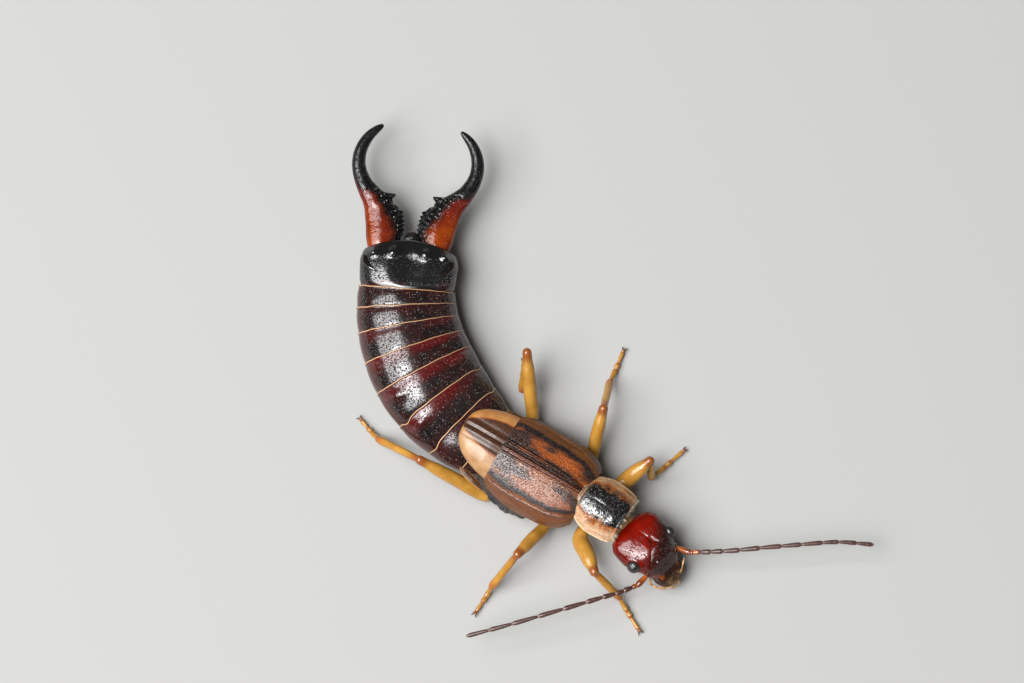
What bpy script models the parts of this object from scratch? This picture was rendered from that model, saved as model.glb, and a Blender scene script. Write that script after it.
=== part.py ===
"""Male common earwig, life size, standing on its six feet with its belly on the floor.

The numbers are millimetres in a body frame: +X runs forwards along the thorax, +Y to the animal's
left and +Z up from the floor. Its zero is where the abdomen starts to bend. The last step moves the
origin to the middle of the underside and turns millimetres into metres.
"""

import math

import bmesh
import bpy
from mathutils import Matrix, Vector

MM = 0.001
GAP = 0.27  # left between two pieces that touch
SEAM = 0.32  # the same between lengths of the abdomen, on its midline: the bend narrows it on the inside
FLOOR = 0.0
MIDDLE = (1.61, 1.415)  # centre of the outline seen from above, in the body frame

# Abdomen: its midline turns by so many degrees, to the animal's left, at a distance s behind its start
TURN_START, TURN_RATE, TURN_GROWTH = 4.0, 5.2, 0.5  # start + rate * s + growth * s * s
SEGMENT_EDGES = (-0.6, 0.53, 1.60, 2.74, 3.86, 4.77, 5.62, 6.31, 6.92)  # rear edges, along the midline
RIM_STEP = 0.06  # how far a segment's rear edge stands over the next one
REAR_LEAN = 0.2  # how far the rearmost rings tip forwards at the top, per mm of height
LEVEL = 1.15  # height that the tipped rings turn about
LAST_SEGMENT = 1.78
LAST_SEGMENT_BOW = 0.42  # its corners lie this far in front of the middle of its rear edge

# Thorax and wings
THORAX_FRONT, THORAX_REAR = 3.28, 0.44
THORAX_HALF_WIDTH = 0.95
WING_THICKNESS = 0.5
WING_TIP_THICKNESS = 0.44
RIDGE = 0.06  # height of the ridges along the wing cases
PROTHORAX_CENTRE = (4.40, -0.03)
PROTHORAX_TURN = -1.0
PROTHORAX_HALF_WIDTH = 0.6

# Head
HEAD_CENTRE = (6.49, -0.38, 1.3)
HEAD_TURN, HEAD_NOD, HEAD_LEAN = -13.7, 18.3, -21.7

# Colour and roughness of each kind of piece. A piece takes the last entry whose words are all in its name.
FINISHES = {
    "abdomen": ((0.055, 0.012, 0.008), 0.28),
    "abdomen end": ((0.018, 0.012, 0.010), 0.25),
    "pygidium": ((0.018, 0.012, 0.010), 0.25),
    "forceps": ((0.42, 0.08, 0.015), 0.22),
    "thorax": ((0.12, 0.06, 0.045), 0.45),
    "prothorax": ((0.10, 0.045, 0.025), 0.30),
    "wing case": ((0.16, 0.055, 0.025), 0.35),
    "wing tip": ((0.72, 0.43, 0.20), 0.40),
    "neck": ((0.36, 0.18, 0.08), 0.45),
    "head": ((0.22, 0.018, 0.010), 0.20),
    "eye": ((0.035, 0.035, 0.04), 0.30),
    "mouthparts": ((0.42, 0.08, 0.015), 0.30),
    "antenna": ((0.12, 0.06, 0.045), 0.45),
    "antenna base": ((0.45, 0.12, 0.02), 0.30),
    "leg": ((0.62, 0.30, 0.07), 0.40),
}


def clear_scene():
    for old in list(bpy.data.objects):
        bpy.data.objects.remove(old)


def paint(piece):
    """Gives a piece a material of its own."""
    words = set(piece.name.split("_"))
    colour, roughness = [look for kind, look in FINISHES.items() if set(kind.split()) <= words][-1]
    made = bpy.data.materials.new(piece.name)
    made.use_nodes = True
    shader = made.node_tree.nodes["Principled BSDF"]
    shader.inputs["Base Color"].default_value = (*colour, 1.0)
    shader.inputs["Roughness"].default_value = roughness
    shader.inputs["Metallic"].default_value = 0.0
    piece.data.materials.clear()
    piece.data.materials.append(made)


def slopes(places, values):
    """Slopes that keep a curve through the values from overshooting them."""
    steps = [(values[i + 1] - values[i]) / (places[i + 1] - places[i]) for i in range(len(places) - 1)]
    inner = [0.0 if a * b <= 0 else 2 * a * b / (a + b) for a, b in zip(steps, steps[1:])]
    return [steps[0], *inner, steps[-1]]


def along(stations, place):
    """The values at a place on a smooth curve through stations of (place, value, value, ...)."""
    places = [row[0] for row in stations]
    place = min(max(place, places[0]), places[-1])
    i = max(k for k in range(len(places) - 1) if places[k] <= place)
    span = places[i + 1] - places[i]
    t = (place - places[i]) / span
    found = []
    for column in zip(*[row[1:] for row in stations]):
        lean = slopes(places, column)
        found.append(
            (2 * t**3 - 3 * t**2 + 1) * column[i]
            + (t**3 - 2 * t**2 + t) * span * lean[i]
            + (3 * t**2 - 2 * t**3) * column[i + 1]
            + (t**3 - t**2) * span * lean[i + 1]
        )
    return found


def power(value, exponent):
    return math.copysign(abs(value) ** exponent, value)


def section(half_width, top, bottom, sides, squareness=2.0):
    """A closed outline as (left, up) pairs, oval at squareness 2 and boxier above it."""
    points = []
    for k in range(sides):
        turn = math.tau * (k + 0.5) / sides
        left = half_width * power(math.cos(turn), 2 / squareness)
        up = power(math.sin(turn), 2 / squareness)
        points.append((left, up * (top if up > 0 else bottom)))
    return points


def skin(name, rings):
    """One closed body through a row of rings of points, with flat ends."""
    shape = bmesh.new()
    rows = [[shape.verts.new(point) for point in ring] for ring in rings]
    sides = len(rows[0])
    for row, after in zip(rows, rows[1:]):
        for k in range(sides):
            shape.faces.new((row[k], row[(k + 1) % sides], after[(k + 1) % sides], after[k]))
    shape.faces.new(rows[0][::-1])
    shape.faces.new(rows[-1])
    bmesh.ops.triangulate(shape, faces=[f for f in shape.faces if len(f.verts) > 4])
    bmesh.ops.recalc_face_normals(shape, faces=shape.faces)
    mesh = bpy.data.meshes.new(name)
    shape.to_mesh(mesh)
    shape.free()
    made = bpy.data.objects.new(name, mesh)
    bpy.context.scene.collection.objects.link(made)
    return made


def remove(pieces):
    for piece in pieces:
        bpy.data.objects.remove(piece)


def keep_largest(piece):
    """Leaves only the largest closed surface of a piece."""
    shape = bmesh.new()
    shape.from_mesh(piece.data)
    left, islands = set(shape.verts), []
    while left:
        island, edge = set(), [left.pop()]
        while edge:
            vert = edge.pop()
            island.add(vert)
            near = {e.other_vert(vert) for e in vert.link_edges} & left
            left -= near
            edge.extend(near)
        islands.append(island)
    islands.sort(key=len)
    bmesh.ops.delete(shape, geom=[v for island in islands[:-1] for v in island], context="VERTS")
    shape.to_mesh(piece.data)
    shape.free()


def combine(piece, others, operation):
    """Applies one Boolean of a collection of closed pieces, which are used up."""
    helpers = bpy.data.collections.new("helpers")
    for other in others:
        helpers.objects.link(other)
    boolean = piece.modifiers.new(operation.lower(), "BOOLEAN")
    boolean.operation = operation
    boolean.operand_type = "COLLECTION"
    boolean.collection = helpers
    boolean.solver = "EXACT"
    boolean.use_self = True
    graph = bpy.context.evaluated_depsgraph_get()
    mesh = bpy.data.meshes.new_from_object(piece.evaluated_get(graph))
    piece.modifiers.clear()
    piece.data = mesh
    remove(others)
    bpy.data.collections.remove(helpers)
    keep_largest(piece)
    return piece


def join(piece, others):
    return combine(piece, others, "UNION")


def cut(piece, others):
    return combine(piece, others, "DIFFERENCE")


def flatten_feet(piece):
    """Cuts off what lies under the floor, which leaves a small flat to stand on."""
    shape = bmesh.new()
    shape.from_mesh(piece.data)
    everything = [*shape.verts, *shape.edges, *shape.faces]
    bmesh.ops.bisect_plane(
        shape, geom=everything, dist=1e-5, plane_co=(0, 0, FLOOR), plane_no=(0, 0, 1), clear_inner=True
    )
    bmesh.ops.holes_fill(shape, edges=[e for e in shape.edges if e.is_boundary], sides=0)
    bmesh.ops.triangulate(shape, faces=[f for f in shape.faces if len(f.verts) > 4])
    bmesh.ops.recalc_face_normals(shape, faces=shape.faces)
    shape.to_mesh(piece.data)
    shape.free()


# Sweeps: limbs and feelers


def route_points(route, count):
    """Evenly spread points on a smooth curve through the route's own points."""
    route = [Vector(point) for point in route]
    lengths = [0.0]
    for a, b in zip(route, route[1:]):
        lengths.append(lengths[-1] + (b - a).length)
    stations = [(place, *point) for place, point in zip(lengths, route)]
    return [Vector(along(stations, lengths[-1] * k / (count - 1))) for k in range(count)]


def sweep(name, route, sizes, sides=10, count=9, grow=0.0, up=(0, 0, 1), dome=(True, True)):
    """A limb along a route. Sizes are (share of the length, half across, half thick), which grow adds to."""
    points = route_points(route, count)
    last = count - 1
    tangents = [(points[min(k + 1, last)] - points[max(k - 1, 0)]).normalized() for k in range(count)]
    rows = []
    for k, point in enumerate(points):
        across, thick = along(sizes, k / last)
        rows.append((point, tangents[k], across + grow, thick + grow))
    bends = [math.radians(angle) for angle in (28, 56, 80)]
    if dome[0]:
        point, tangent, across, thick = rows[0]
        reach = min(across, thick)
        rows[:0] = [
            (point - tangent * reach * math.sin(a), tangent, across * math.cos(a), thick * math.cos(a))
            for a in reversed(bends)
        ]
    if dome[1]:
        point, tangent, across, thick = rows[-1]
        reach = min(across, thick)
        rows += [
            (point + tangent * reach * math.sin(a), tangent, across * math.cos(a), thick * math.cos(a))
            for a in bends
        ]
    rings = []
    for point, tangent, across, thick in rows:
        side = Vector(up).cross(tangent).normalized()
        lift = tangent.cross(side)
        rings.append([point + side * a + lift * b for a, b in section(across, thick, thick, sides)])
    return skin(name, rings)


def ball(name, centre, radii, rows=8, sides=12, grow=0.0, turn=None):
    """A closed ellipsoid of stacked rings."""
    turn = turn or Matrix.Identity(3)
    rings = []
    for k in range(rows + 1):
        angle = math.pi * (k + 0.35) / (rows + 0.7)
        radius, height = math.sin(angle), -math.cos(angle)
        ring = []
        for n in range(sides):
            around = math.tau * n / sides
            east = (radii[0] + grow) * radius * math.cos(around)
            north = (radii[1] + grow) * radius * math.sin(around)
            ring.append(Vector(centre) + turn @ Vector((east, north, (radii[2] + grow) * height)))
        rings.append(ring)
    return skin(name, rings)


# Abdomen


def turn_at(s):
    return math.radians(TURN_START + TURN_RATE * s + TURN_GROWTH * s * s)


def midline(s):
    """Place, rearward direction and leftward direction of the abdomen's midline, s behind its start."""
    place = Vector((0, 0, 0))
    bent = min(s, SEGMENT_EDGES[-1])
    steps = 40
    for k in range(steps):
        turn = turn_at(bent * (k + 0.5) / steps)
        place += Vector((-math.cos(turn), math.sin(turn), 0)) * bent / steps
    turn = turn_at(bent)
    rearward = Vector((-math.cos(turn), math.sin(turn), 0))
    place += rearward * (s - bent)
    return place, rearward, Vector((math.sin(turn), math.cos(turn), 0))


# (along the midline, half width, top, underside)
ABDOMEN = (
    (-0.35, 0.90, 1.48, 0.42),
    (0.53, 1.42, 1.58, 0.30),
    (1.60, 1.68, 1.78, 0.14),
    (2.74, 1.84, 2.08, 0.03),
    (3.86, 1.90, 2.20, -0.04),
    (4.77, 1.87, 2.22, -0.05),
    (5.62, 1.83, 2.20, -0.03),
    (6.31, 1.79, 2.18, 0.08),
    (6.92, 1.73, 2.15, 0.20),
)
ABDOMEN_SIDES = 30
ABDOMEN_SQUARENESS = 2.25


def tipped(s, aside, height):
    """A point of the abdomen. Towards the rear its upright rings tip forwards at the top."""
    place, rearward, left = midline(s)
    lean = REAR_LEAN * min(max(s / SEGMENT_EDGES[-1], 0.0), 1.0) ** 2
    return place + left * aside - rearward * lean * (height - LEVEL) + Vector((0, 0, height))


def abdomen_ring(s, inset=0.0):
    half_width, top, bottom = along(ABDOMEN, s)
    middle = top - 0.56 * (top - bottom)
    above, below = top - middle - inset, middle - bottom - inset / 2
    outline = section(half_width - inset, above, below, ABDOMEN_SIDES, ABDOMEN_SQUARENESS)
    return [tipped(s, a, middle + b) for a, b in outline]


def abdomen_length(name, first, last, start, end):
    """Segments first to last as one node, each one's rear edge standing over the next."""
    rings = []
    for number in range(first, last + 1):
        front, rear = SEGMENT_EDGES[number - 1], SEGMENT_EDGES[number]
        front = start if number == first else front + 0.02
        rear = end if number == last else rear
        for share, inset in ((0.0, RIM_STEP), (0.45, 0.4 * RIM_STEP), (0.93, 0.0), (1.0, 0.012)):
            rings.append(abdomen_ring(front + share * (rear - front), inset))
    return skin(name, rings)


# (along the midline, aside, how far below the top, radius) of the folds over the scent glands
GLANDS = ((2.42, 1.22, 0.42, 0.17), (3.50, 1.30, 0.42, 0.20))


def abdomen():
    cuts = (-0.35, *SEGMENT_EDGES[2::2])
    spans = ((1, 2), (3, 4), (5, 6), (7, 8))
    made = []
    for k, (first, last) in enumerate(spans):
        start = cuts[k] + SEAM / 2
        end = cuts[k + 1] - SEAM / 2
        made.append(abdomen_length(f"abdomen_{k + 1}", first, last, start, end))
    folds = []
    for s, aside, below, radius in GLANDS:
        for hand in (1, -1):
            centre = tipped(s, hand * aside, along(ABDOMEN, s)[1] - below)
            folds.append(ball("fold", centre, (radius, radius, radius), rows=6, sides=10))
    join(made[1], folds)
    for piece in made[1:]:
        flatten_feet(piece)


# (behind the segment's front edge, half width, top, underside)
END_SEGMENT = (
    (0.0, 1.71, 2.14, 0.22),
    (0.5, 1.74, 2.14, 0.30),
    (1.05, 1.74, 2.08, 0.45),
    (1.45, 1.68, 1.98, 0.60),
    (1.78, 1.55, 1.84, 0.76),
)
END_SQUARENESS = 2.9
# (behind, aside, radius, how far below the top its centre is)
KNOBS = ((1.36, 0.52, 0.22, 0.16), (1.42, 1.12, 0.26, 0.24))


def end_rings(start, end, count, grow=0.0):
    """Sections of the last segment, with a bowed rear edge and a dip along the middle of its back."""
    rings = []
    for k in range(count + 1):
        behind = start + (end - start) * k / count
        half_width, top, bottom = along(END_SEGMENT, behind)
        middle = 0.5 * (top + bottom)
        dip = 0.10 * math.sin(math.pi * min(max(behind / LAST_SEGMENT, 0.0), 1.0))
        bow = LAST_SEGMENT_BOW * min(max(behind / LAST_SEGMENT, 0.0), 1.0) ** 2
        ring = []
        above, below = top - middle + grow, middle - bottom + grow
        for a, b in section(half_width + grow, above, below, ABDOMEN_SIDES, END_SQUARENESS):
            hollow = dip * math.exp(-((a / 0.55) ** 2)) if b > 0 else 0.0
            back = SEGMENT_EDGES[-1] + behind - bow * (a / half_width) ** 2
            ring.append(tipped(back, a, middle + b - hollow))
        rings.append(ring)
    return rings


def end_segment():
    """The large last segment, with the knobs over the roots of the forceps."""
    body = skin("abdomen_end", end_rings(SEAM / 2, LAST_SEGMENT, 9))
    knobs = []
    for behind, aside, radius, below in KNOBS:
        bow = LAST_SEGMENT_BOW * (behind / LAST_SEGMENT) ** 2 * (aside / END_SEGMENT[0][1]) ** 2
        for hand in (1, -1):
            height = along(END_SEGMENT, behind)[1] - below
            centre = tipped(SEGMENT_EDGES[-1] + behind - bow, hand * aside, height)
            knobs.append(ball("knob", centre, (radius, radius, radius), rows=6, sides=10))
    return join(body, knobs)


# Forceps

FORCEPS_ROOT = 0.935  # of each arm, from the midline
FORCEPS_SETBACK = 1.76  # of the roots, behind the front edge of the last segment
FORCEPS_HEIGHT = 1.28
FORCEPS_RISE = 0.42  # of the tips above the roots
FORCEPS_SPREAD = {"left": 8.5, "right": 7.0}
# (aside from the root, behind it, half width, half thickness)
FORCEPS_ARM = (
    (0.00, -0.40, 0.57, 0.36),
    (0.00, 0.00, 0.59, 0.35),
    (-0.05, 0.36, 0.63, 0.33),
    (-0.01, 0.87, 0.64, 0.31),
    (0.11, 1.18, 0.54, 0.30),
    (0.29, 1.45, 0.45, 0.28),
    (0.52, 1.72, 0.35, 0.27),
    (0.75, 2.12, 0.28, 0.26),
    (0.85, 2.60, 0.25, 0.25),
    (0.81, 2.98, 0.24, 0.25),
    (0.68, 3.36, 0.22, 0.23),
    (0.48, 3.70, 0.19, 0.20),
    (0.22, 3.97, 0.12, 0.14),
    (-0.09, 4.12, 0.05, 0.06),
)
# (behind the root, how far in the tip reaches, radius at the foot) of the teeth on the inner edge
FORCEPS_TEETH = (
    (1.48, 0.47, 0.20),
    (1.16, 0.56, 0.17),
    (0.86, 0.74, 0.17),
    (0.50, 0.76, 0.16),
    (0.16, 0.70, 0.15),
)


def forceps_frame(hand):
    """Root of one arm and the directions outwards and rearwards from it."""
    side = 1 if hand == "left" else -1
    place, rearward, left = midline(SEGMENT_EDGES[-1] + FORCEPS_SETBACK)
    root = place + left * side * FORCEPS_ROOT + Vector((0, 0, FORCEPS_HEIGHT))
    spread = math.radians(FORCEPS_SPREAD[hand])
    outward = left * side * math.cos(spread) - rearward * math.sin(spread)
    return root, outward, rearward * math.cos(spread) + left * side * math.sin(spread)


def forceps(hand):
    root, outward, rearward = forceps_frame(hand)
    lengths = [0.0]
    for a, b in zip(FORCEPS_ARM, FORCEPS_ARM[1:]):
        lengths.append(lengths[-1] + math.hypot(b[0] - a[0], b[1] - a[1]))
    stations = [(place, *row) for place, row in zip(lengths, FORCEPS_ARM)]
    rings = []
    count = 24
    for k in range(count + 1):
        place = lengths[-1] * k / count
        aside, behind, half_width, half_thick = along(stations, place)
        ahead = along(stations, place + 0.08)
        before = along(stations, place - 0.08)
        heading = Vector((ahead[0] - before[0], ahead[1] - before[1])).normalized()
        if behind < 1.2:
            heading = Vector((0, 1))
        across = Vector((heading[1], -heading[0]))
        rise = FORCEPS_RISE * (place / lengths[-1]) ** 1.5
        ring = []
        for a, b in section(half_width, half_thick, half_thick, 12, 2.3):
            flat = Vector((aside, behind)) + across * a
            ring.append(root + outward * flat[0] + rearward * flat[1] + Vector((0, 0, rise + b)))
        rings.append(ring)
    arm = skin(f"forceps_{hand}", rings)
    teeth = []
    for behind, reach, radius in FORCEPS_TEETH:
        foot = root - outward * (reach - 0.34) + rearward * behind + Vector((0, 0, 0.04))
        tip = root - outward * reach + rearward * (behind + 0.02) + Vector((0, 0, 0.06))
        sizes = ((0.0, radius, radius), (0.6, 0.7 * radius, 0.7 * radius), (1.0, 0.06, 0.06))
        teeth.append(sweep("tooth", (foot, tip), sizes, sides=7, count=4, dome=(True, False)))
    join(arm, teeth)
    grown = skin("grown_end", end_rings(0.2, LAST_SEGMENT + GAP, 9, GAP))
    return cut(arm, [grown])


def pygidium():
    """The small plate between the roots of the forceps."""
    start = tipped(SEGMENT_EDGES[-1] + LAST_SEGMENT + GAP, 0.0, 1.22)
    _, rearward, _ = midline(SEGMENT_EDGES[-1])
    sizes = ((0.0, 0.13, 0.28), (0.6, 0.12, 0.24), (1.0, 0.07, 0.12))
    route = (start, start + rearward * 0.28)
    return sweep("pygidium", route, sizes, sides=10, count=4, dome=(False, True))


# Thorax

# (forwards, half width, top, underside)
THORAX = (
    (0.4, 0.88, 1.66, 0.50),
    (0.9, THORAX_HALF_WIDTH, 1.72, 0.46),
    (1.8, THORAX_HALF_WIDTH, 1.78, 0.46),
    (2.8, 0.93, 1.76, 0.50),
    (3.35, 0.80, 1.70, 0.55),
)


def thorax(name="thorax", grow=0.0):
    rings = []
    count = 10
    for k in range(count + 1):
        x = THORAX_REAR - grow + (THORAX_FRONT - THORAX_REAR + 2 * grow) * k / count
        half_width, top, bottom = along(THORAX, x)
        middle = 0.5 * (top + bottom)
        outline = section(half_width + grow, top - middle + grow, middle - bottom + grow, 20, 2.8)
        rings.append([Vector((x, a, middle + b)) for a, b in outline])
    return skin(name, rings)


# Front wings: short, leathery, square behind. (forwards, half width, crest, lower edge)
WING_CASE = (
    (0.25, 1.32, 2.42, 1.56),
    (0.60, 1.50, 2.46, 1.34),
    (1.60, 1.64, 2.52, 1.20),
    (2.60, 1.60, 2.53, 1.22),
    (3.12, 1.47, 2.50, 1.28),
    (3.42, 1.32, 2.46, 1.36),
    (3.66, 1.06, 2.40, 1.50),
)
# Folded hind wings that show behind them, over the abdomen. (forwards, half width, crest, lower edge)
WING_TIP = (
    (-1.42, 0.40, 2.32, 2.12),
    (-1.28, 0.66, 2.36, 2.02),
    (-0.95, 0.94, 2.40, 1.90),
    (-0.45, 1.14, 2.41, 1.78),
    (0.00, 1.22, 2.40, 1.72),
)
CREST_RIDGE, SIDE_RIDGE = 0.07, 0.70  # places of the ridges, as shares of the way round from crest to side
RIDGE_SPREAD = 0.06


def shell_ring(x, half_width, crest, edge, hand, thickness, points=12):
    """Section of half a curved roof: outside from crest to side, then back along the inside."""
    side = 1 if hand == "left" else -1
    seam = GAP / 2
    outer, inner = [], []
    for k in range(points + 1):
        turn = math.radians(90) * k / points
        wide = power(math.sin(turn), 2 / 2.6)
        high = power(math.cos(turn), 2 / 2.6)
        ridges = (CREST_RIDGE, SIDE_RIDGE)
        swell = sum(RIDGE * math.exp(-(((k / points - at) / RIDGE_SPREAD) ** 2)) for at in ridges)
        width = (half_width - seam) * wide + swell * math.sin(turn)
        outer.append((seam + width, edge + (crest - edge) * high + swell * math.cos(turn)))
        thick = min(thickness, 0.9 * (half_width - seam))
        drop = min(thickness, 0.9 * (crest - edge))
        inner.append((seam + (half_width - seam - thick) * wide, edge + (crest - edge - drop) * high))
    return [Vector((x, side * a, b)) for a, b in outer + inner[::-1]]


def wing_shell(name, stations, hand, thickness, count):
    front, rear = stations[-1][0], stations[0][0]
    rings = []
    for k in range(count + 1):
        x = rear + (front - rear) * (0.5 - 0.5 * math.cos(math.pi * k / count))
        rings.append(shell_ring(x, *along(stations, x), hand, thickness))
    return skin(name, rings)


def wings():
    for hand in ("left", "right"):
        case = wing_shell(f"wing_case_{hand}", WING_CASE, hand, WING_THICKNESS, 10)
        cut(case, [shield("grown_shield", GAP), prothorax_block("grown_block", GAP)])
        wing_shell(f"wing_tip_{hand}", WING_TIP, hand, WING_TIP_THICKNESS, 8)


# Prothorax: the square shield and the block under it that carries the neck and the front legs

# (forwards from the centre, half width, crest, edge)
SHIELD = (
    (-0.92, 0.46, 2.38, 2.10),
    (-0.82, 0.72, 2.42, 2.00),
    (-0.60, 0.93, 2.44, 1.92),
    (-0.10, 1.06, 2.43, 1.86),
    (0.40, 1.04, 2.38, 1.82),
    (0.72, 0.97, 2.30, 1.80),
    (0.83, 0.88, 2.24, 1.80),
)
SHIELD_THICKNESS = 0.42
# (forwards from the centre, half width, top, underside) of the block
BLOCK = ((-0.80, 0.54, 1.95, 0.62), (-0.45, PROTHORAX_HALF_WIDTH, 2.05, 0.52), (0.05, 0.50, 2.0, 0.62))


def prothorax_point(forwards, left, height):
    place = Matrix.Rotation(math.radians(PROTHORAX_TURN), 3, "Z") @ Vector((forwards, left, 0))
    return place + Vector((*PROTHORAX_CENTRE, height))


def prothorax_block(name, grow=0.0):
    rings = []
    rear, front = BLOCK[0][0] - grow, BLOCK[-1][0] + grow
    for k in range(7):
        forwards = rear + (front - rear) * k / 6
        half_width, top, bottom = along(BLOCK, forwards)
        middle = 0.5 * (top + bottom)
        outline = section(half_width + grow, top - middle + grow, middle - bottom + grow, 16, 2.8)
        rings.append([prothorax_point(forwards, a, middle + b) for a, b in outline])
    return skin(name, rings)


def shield(name, grow=0.0):
    rings = []
    rear, front = SHIELD[0][0] - grow, SHIELD[-1][0] + grow
    for k in range(13):
        forwards = rear + (front - rear) * (0.5 - 0.5 * math.cos(math.pi * k / 12))
        half_width, crest, edge = along(SHIELD, forwards)
        half_width += grow
        upper, lower = [], []
        for n in range(13):
            across = -1 + 2 * n / 12
            rise = (1 - abs(across) ** 2.6) * (crest - edge)
            upper.append(prothorax_point(forwards, across * half_width, edge + rise + grow))
            sunk = SHIELD_THICKNESS * (0.7 if abs(across) == 1 else 1.0)
            lower.append(prothorax_point(forwards, across * half_width * 0.97, edge + rise - sunk - grow))
        rings.append(upper + lower[::-1])
    return skin(name, rings)


def prothorax():
    piece = join(shield("prothorax"), [prothorax_block("block")])
    return cut(piece, [head_capsule("grown_head", GAP)])


# Head


def head_turn():
    yaw = Matrix.Rotation(math.radians(HEAD_TURN), 3, "Z")
    lean = Matrix.Rotation(math.radians(HEAD_LEAN), 3, "X")
    nod = Matrix.Rotation(math.radians(HEAD_NOD), 3, "Y")
    return yaw @ lean @ nod


def head_point(forwards, left, up):
    return Vector(HEAD_CENTRE) + head_turn() @ Vector((forwards, left, up))


# (forwards, half width, top, underside)
HEAD = (
    (-1.15, 0.62, 0.28, -0.30),
    (-1.02, 0.88, 0.44, -0.42),
    (-0.72, 1.03, 0.56, -0.52),
    (-0.25, 1.05, 0.63, -0.56),
    (0.15, 0.96, 0.61, -0.56),
    (0.50, 0.80, 0.50, -0.54),
    (0.80, 0.64, 0.34, -0.50),
    (1.02, 0.48, 0.18, -0.44),
)
NAPE = 0.12  # how far the back of the head is hollowed in the middle


def head_capsule(name, grow=0.0):
    rings = []
    count = 17
    rear, front = HEAD[0][0] - grow, HEAD[-1][0] + grow
    for k in range(count + 1):
        forwards = rear + (front - rear) * (0.5 - 0.5 * math.cos(math.pi * k / count))
        half_width, top, bottom = along(HEAD, forwards)
        ring = []
        for a, b in section(half_width + grow, top + grow, grow - bottom, 24, 2.2):
            hollow = NAPE * max(0.0, 1 - abs(a) / 0.7) * max(0.0, -forwards / 1.15) ** 3
            ring.append(head_point(forwards + hollow, a, b))
        rings.append(ring)
    return skin(name, rings)


EYE_PLACE = (0.05, 0.92, 0.10)
EYE_RADII = (0.27, 0.17, 0.22)


def eyes_and_head():
    head = head_capsule("head")
    sockets = []
    for hand, side in (("left", 1), ("right", -1)):
        centre = head_point(EYE_PLACE[0], side * EYE_PLACE[1], EYE_PLACE[2])
        ball(f"eye_{hand}", centre, EYE_RADII, sides=14, turn=head_turn())
        sockets.append(ball("socket", centre, EYE_RADII, sides=14, grow=GAP, turn=head_turn()))
    return cut(head, sockets)


def neck():
    start = prothorax_point(-0.3, 0, 1.24)
    end = head_point(-0.7, 0, -0.14)
    sizes = ((0.0, 0.44, 0.34), (1.0, 0.40, 0.34))
    tube = sweep("neck", (start, start.lerp(end, 0.5), end), sizes, sides=14, count=7)
    return cut(tube, [prothorax_block("grown_block", GAP), head_capsule("grown_head", GAP)])


# (forwards, half width, top, underside) of the upper lip and the jaws under it
MOUTH = (
    (0.70, 0.46, 0.16, -0.46),
    (1.25, 0.42, 0.08, -0.44),
    (1.50, 0.34, -0.02, -0.40),
    (1.66, 0.18, -0.12, -0.32),
)


def mouthparts():
    rings = []
    for k in range(8):
        forwards = MOUTH[0][0] + (MOUTH[-1][0] - MOUTH[0][0]) * k / 7
        half_width, top, bottom = along(MOUTH, forwards)
        middle = 0.5 * (top + bottom)
        outline = section(half_width, top - middle, middle - bottom, 14, 2.6)
        rings.append([head_point(forwards, a, middle + b) for a, b in outline])
    return cut(skin("mouthparts", rings), [head_capsule("grown_head", GAP)])


# Feelers: a long first joint and a row of beads

# From the elbow behind the first joint to the tip
ANTENNA = {
    "left": (
        (8.01, 0.35, 1.30),
        (8.97, 1.04, 1.42),
        (9.97, 1.76, 1.50),
        (11.08, 2.56, 1.50),
        (12.10, 3.28, 1.42),
        (13.12, 3.81, 1.30),
    ),
    "right": (
        (6.79, -1.68, 1.36),
        (6.46, -2.18, 1.55),
        (5.94, -2.78, 1.66),
        (4.98, -3.85, 1.72),
        (3.73, -5.19, 1.64),
        (2.60, -6.33, 1.46),
    ),
}
SOCKET = (0.62, 0.74, 0.0)  # of each feeler, in the head's directions
BEADS = 11
ANTENNA_RADIUS, ANTENNA_TIP_RADIUS = 0.25, 0.16


def antenna(hand):
    side = 1 if hand == "left" else -1
    elbow = Vector(ANTENNA[hand][0])
    socket = head_point(SOCKET[0], side * SOCKET[1], SOCKET[2])
    inner = head_point(SOCKET[0] - 0.3, side * (SOCKET[1] - 0.3), SOCKET[2])
    sizes = ((0.0, 0.24, 0.24), (1.0, 0.25, 0.25))
    base = sweep(f"antenna_{hand}_base", (inner, socket, elbow), sizes, count=8)
    cut(base, [head_capsule("grown_head", GAP)])
    points = route_points(ANTENNA[hand], 3 * BEADS + 1)
    clear = ANTENNA_RADIUS + GAP  # past the round end of the base
    rings = []
    for k, point in enumerate(points):
        if (point - elbow).length < clear:
            continue
        size = ANTENNA_RADIUS + (ANTENNA_TIP_RADIUS - ANTENNA_RADIUS) * k / (3 * BEADS)
        size *= 0.84 if k % 3 == 0 else 1.0
        tangent = (points[min(k + 1, len(points) - 1)] - points[k - 1]).normalized()
        across = Vector((0, 0, 1)).cross(tangent).normalized()
        lift = tangent.cross(across)
        rings.append([point + across * a + lift * b for a, b in section(size, size, size, 8)])
    return skin(f"antenna_{hand}", rings)


# Legs

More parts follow.
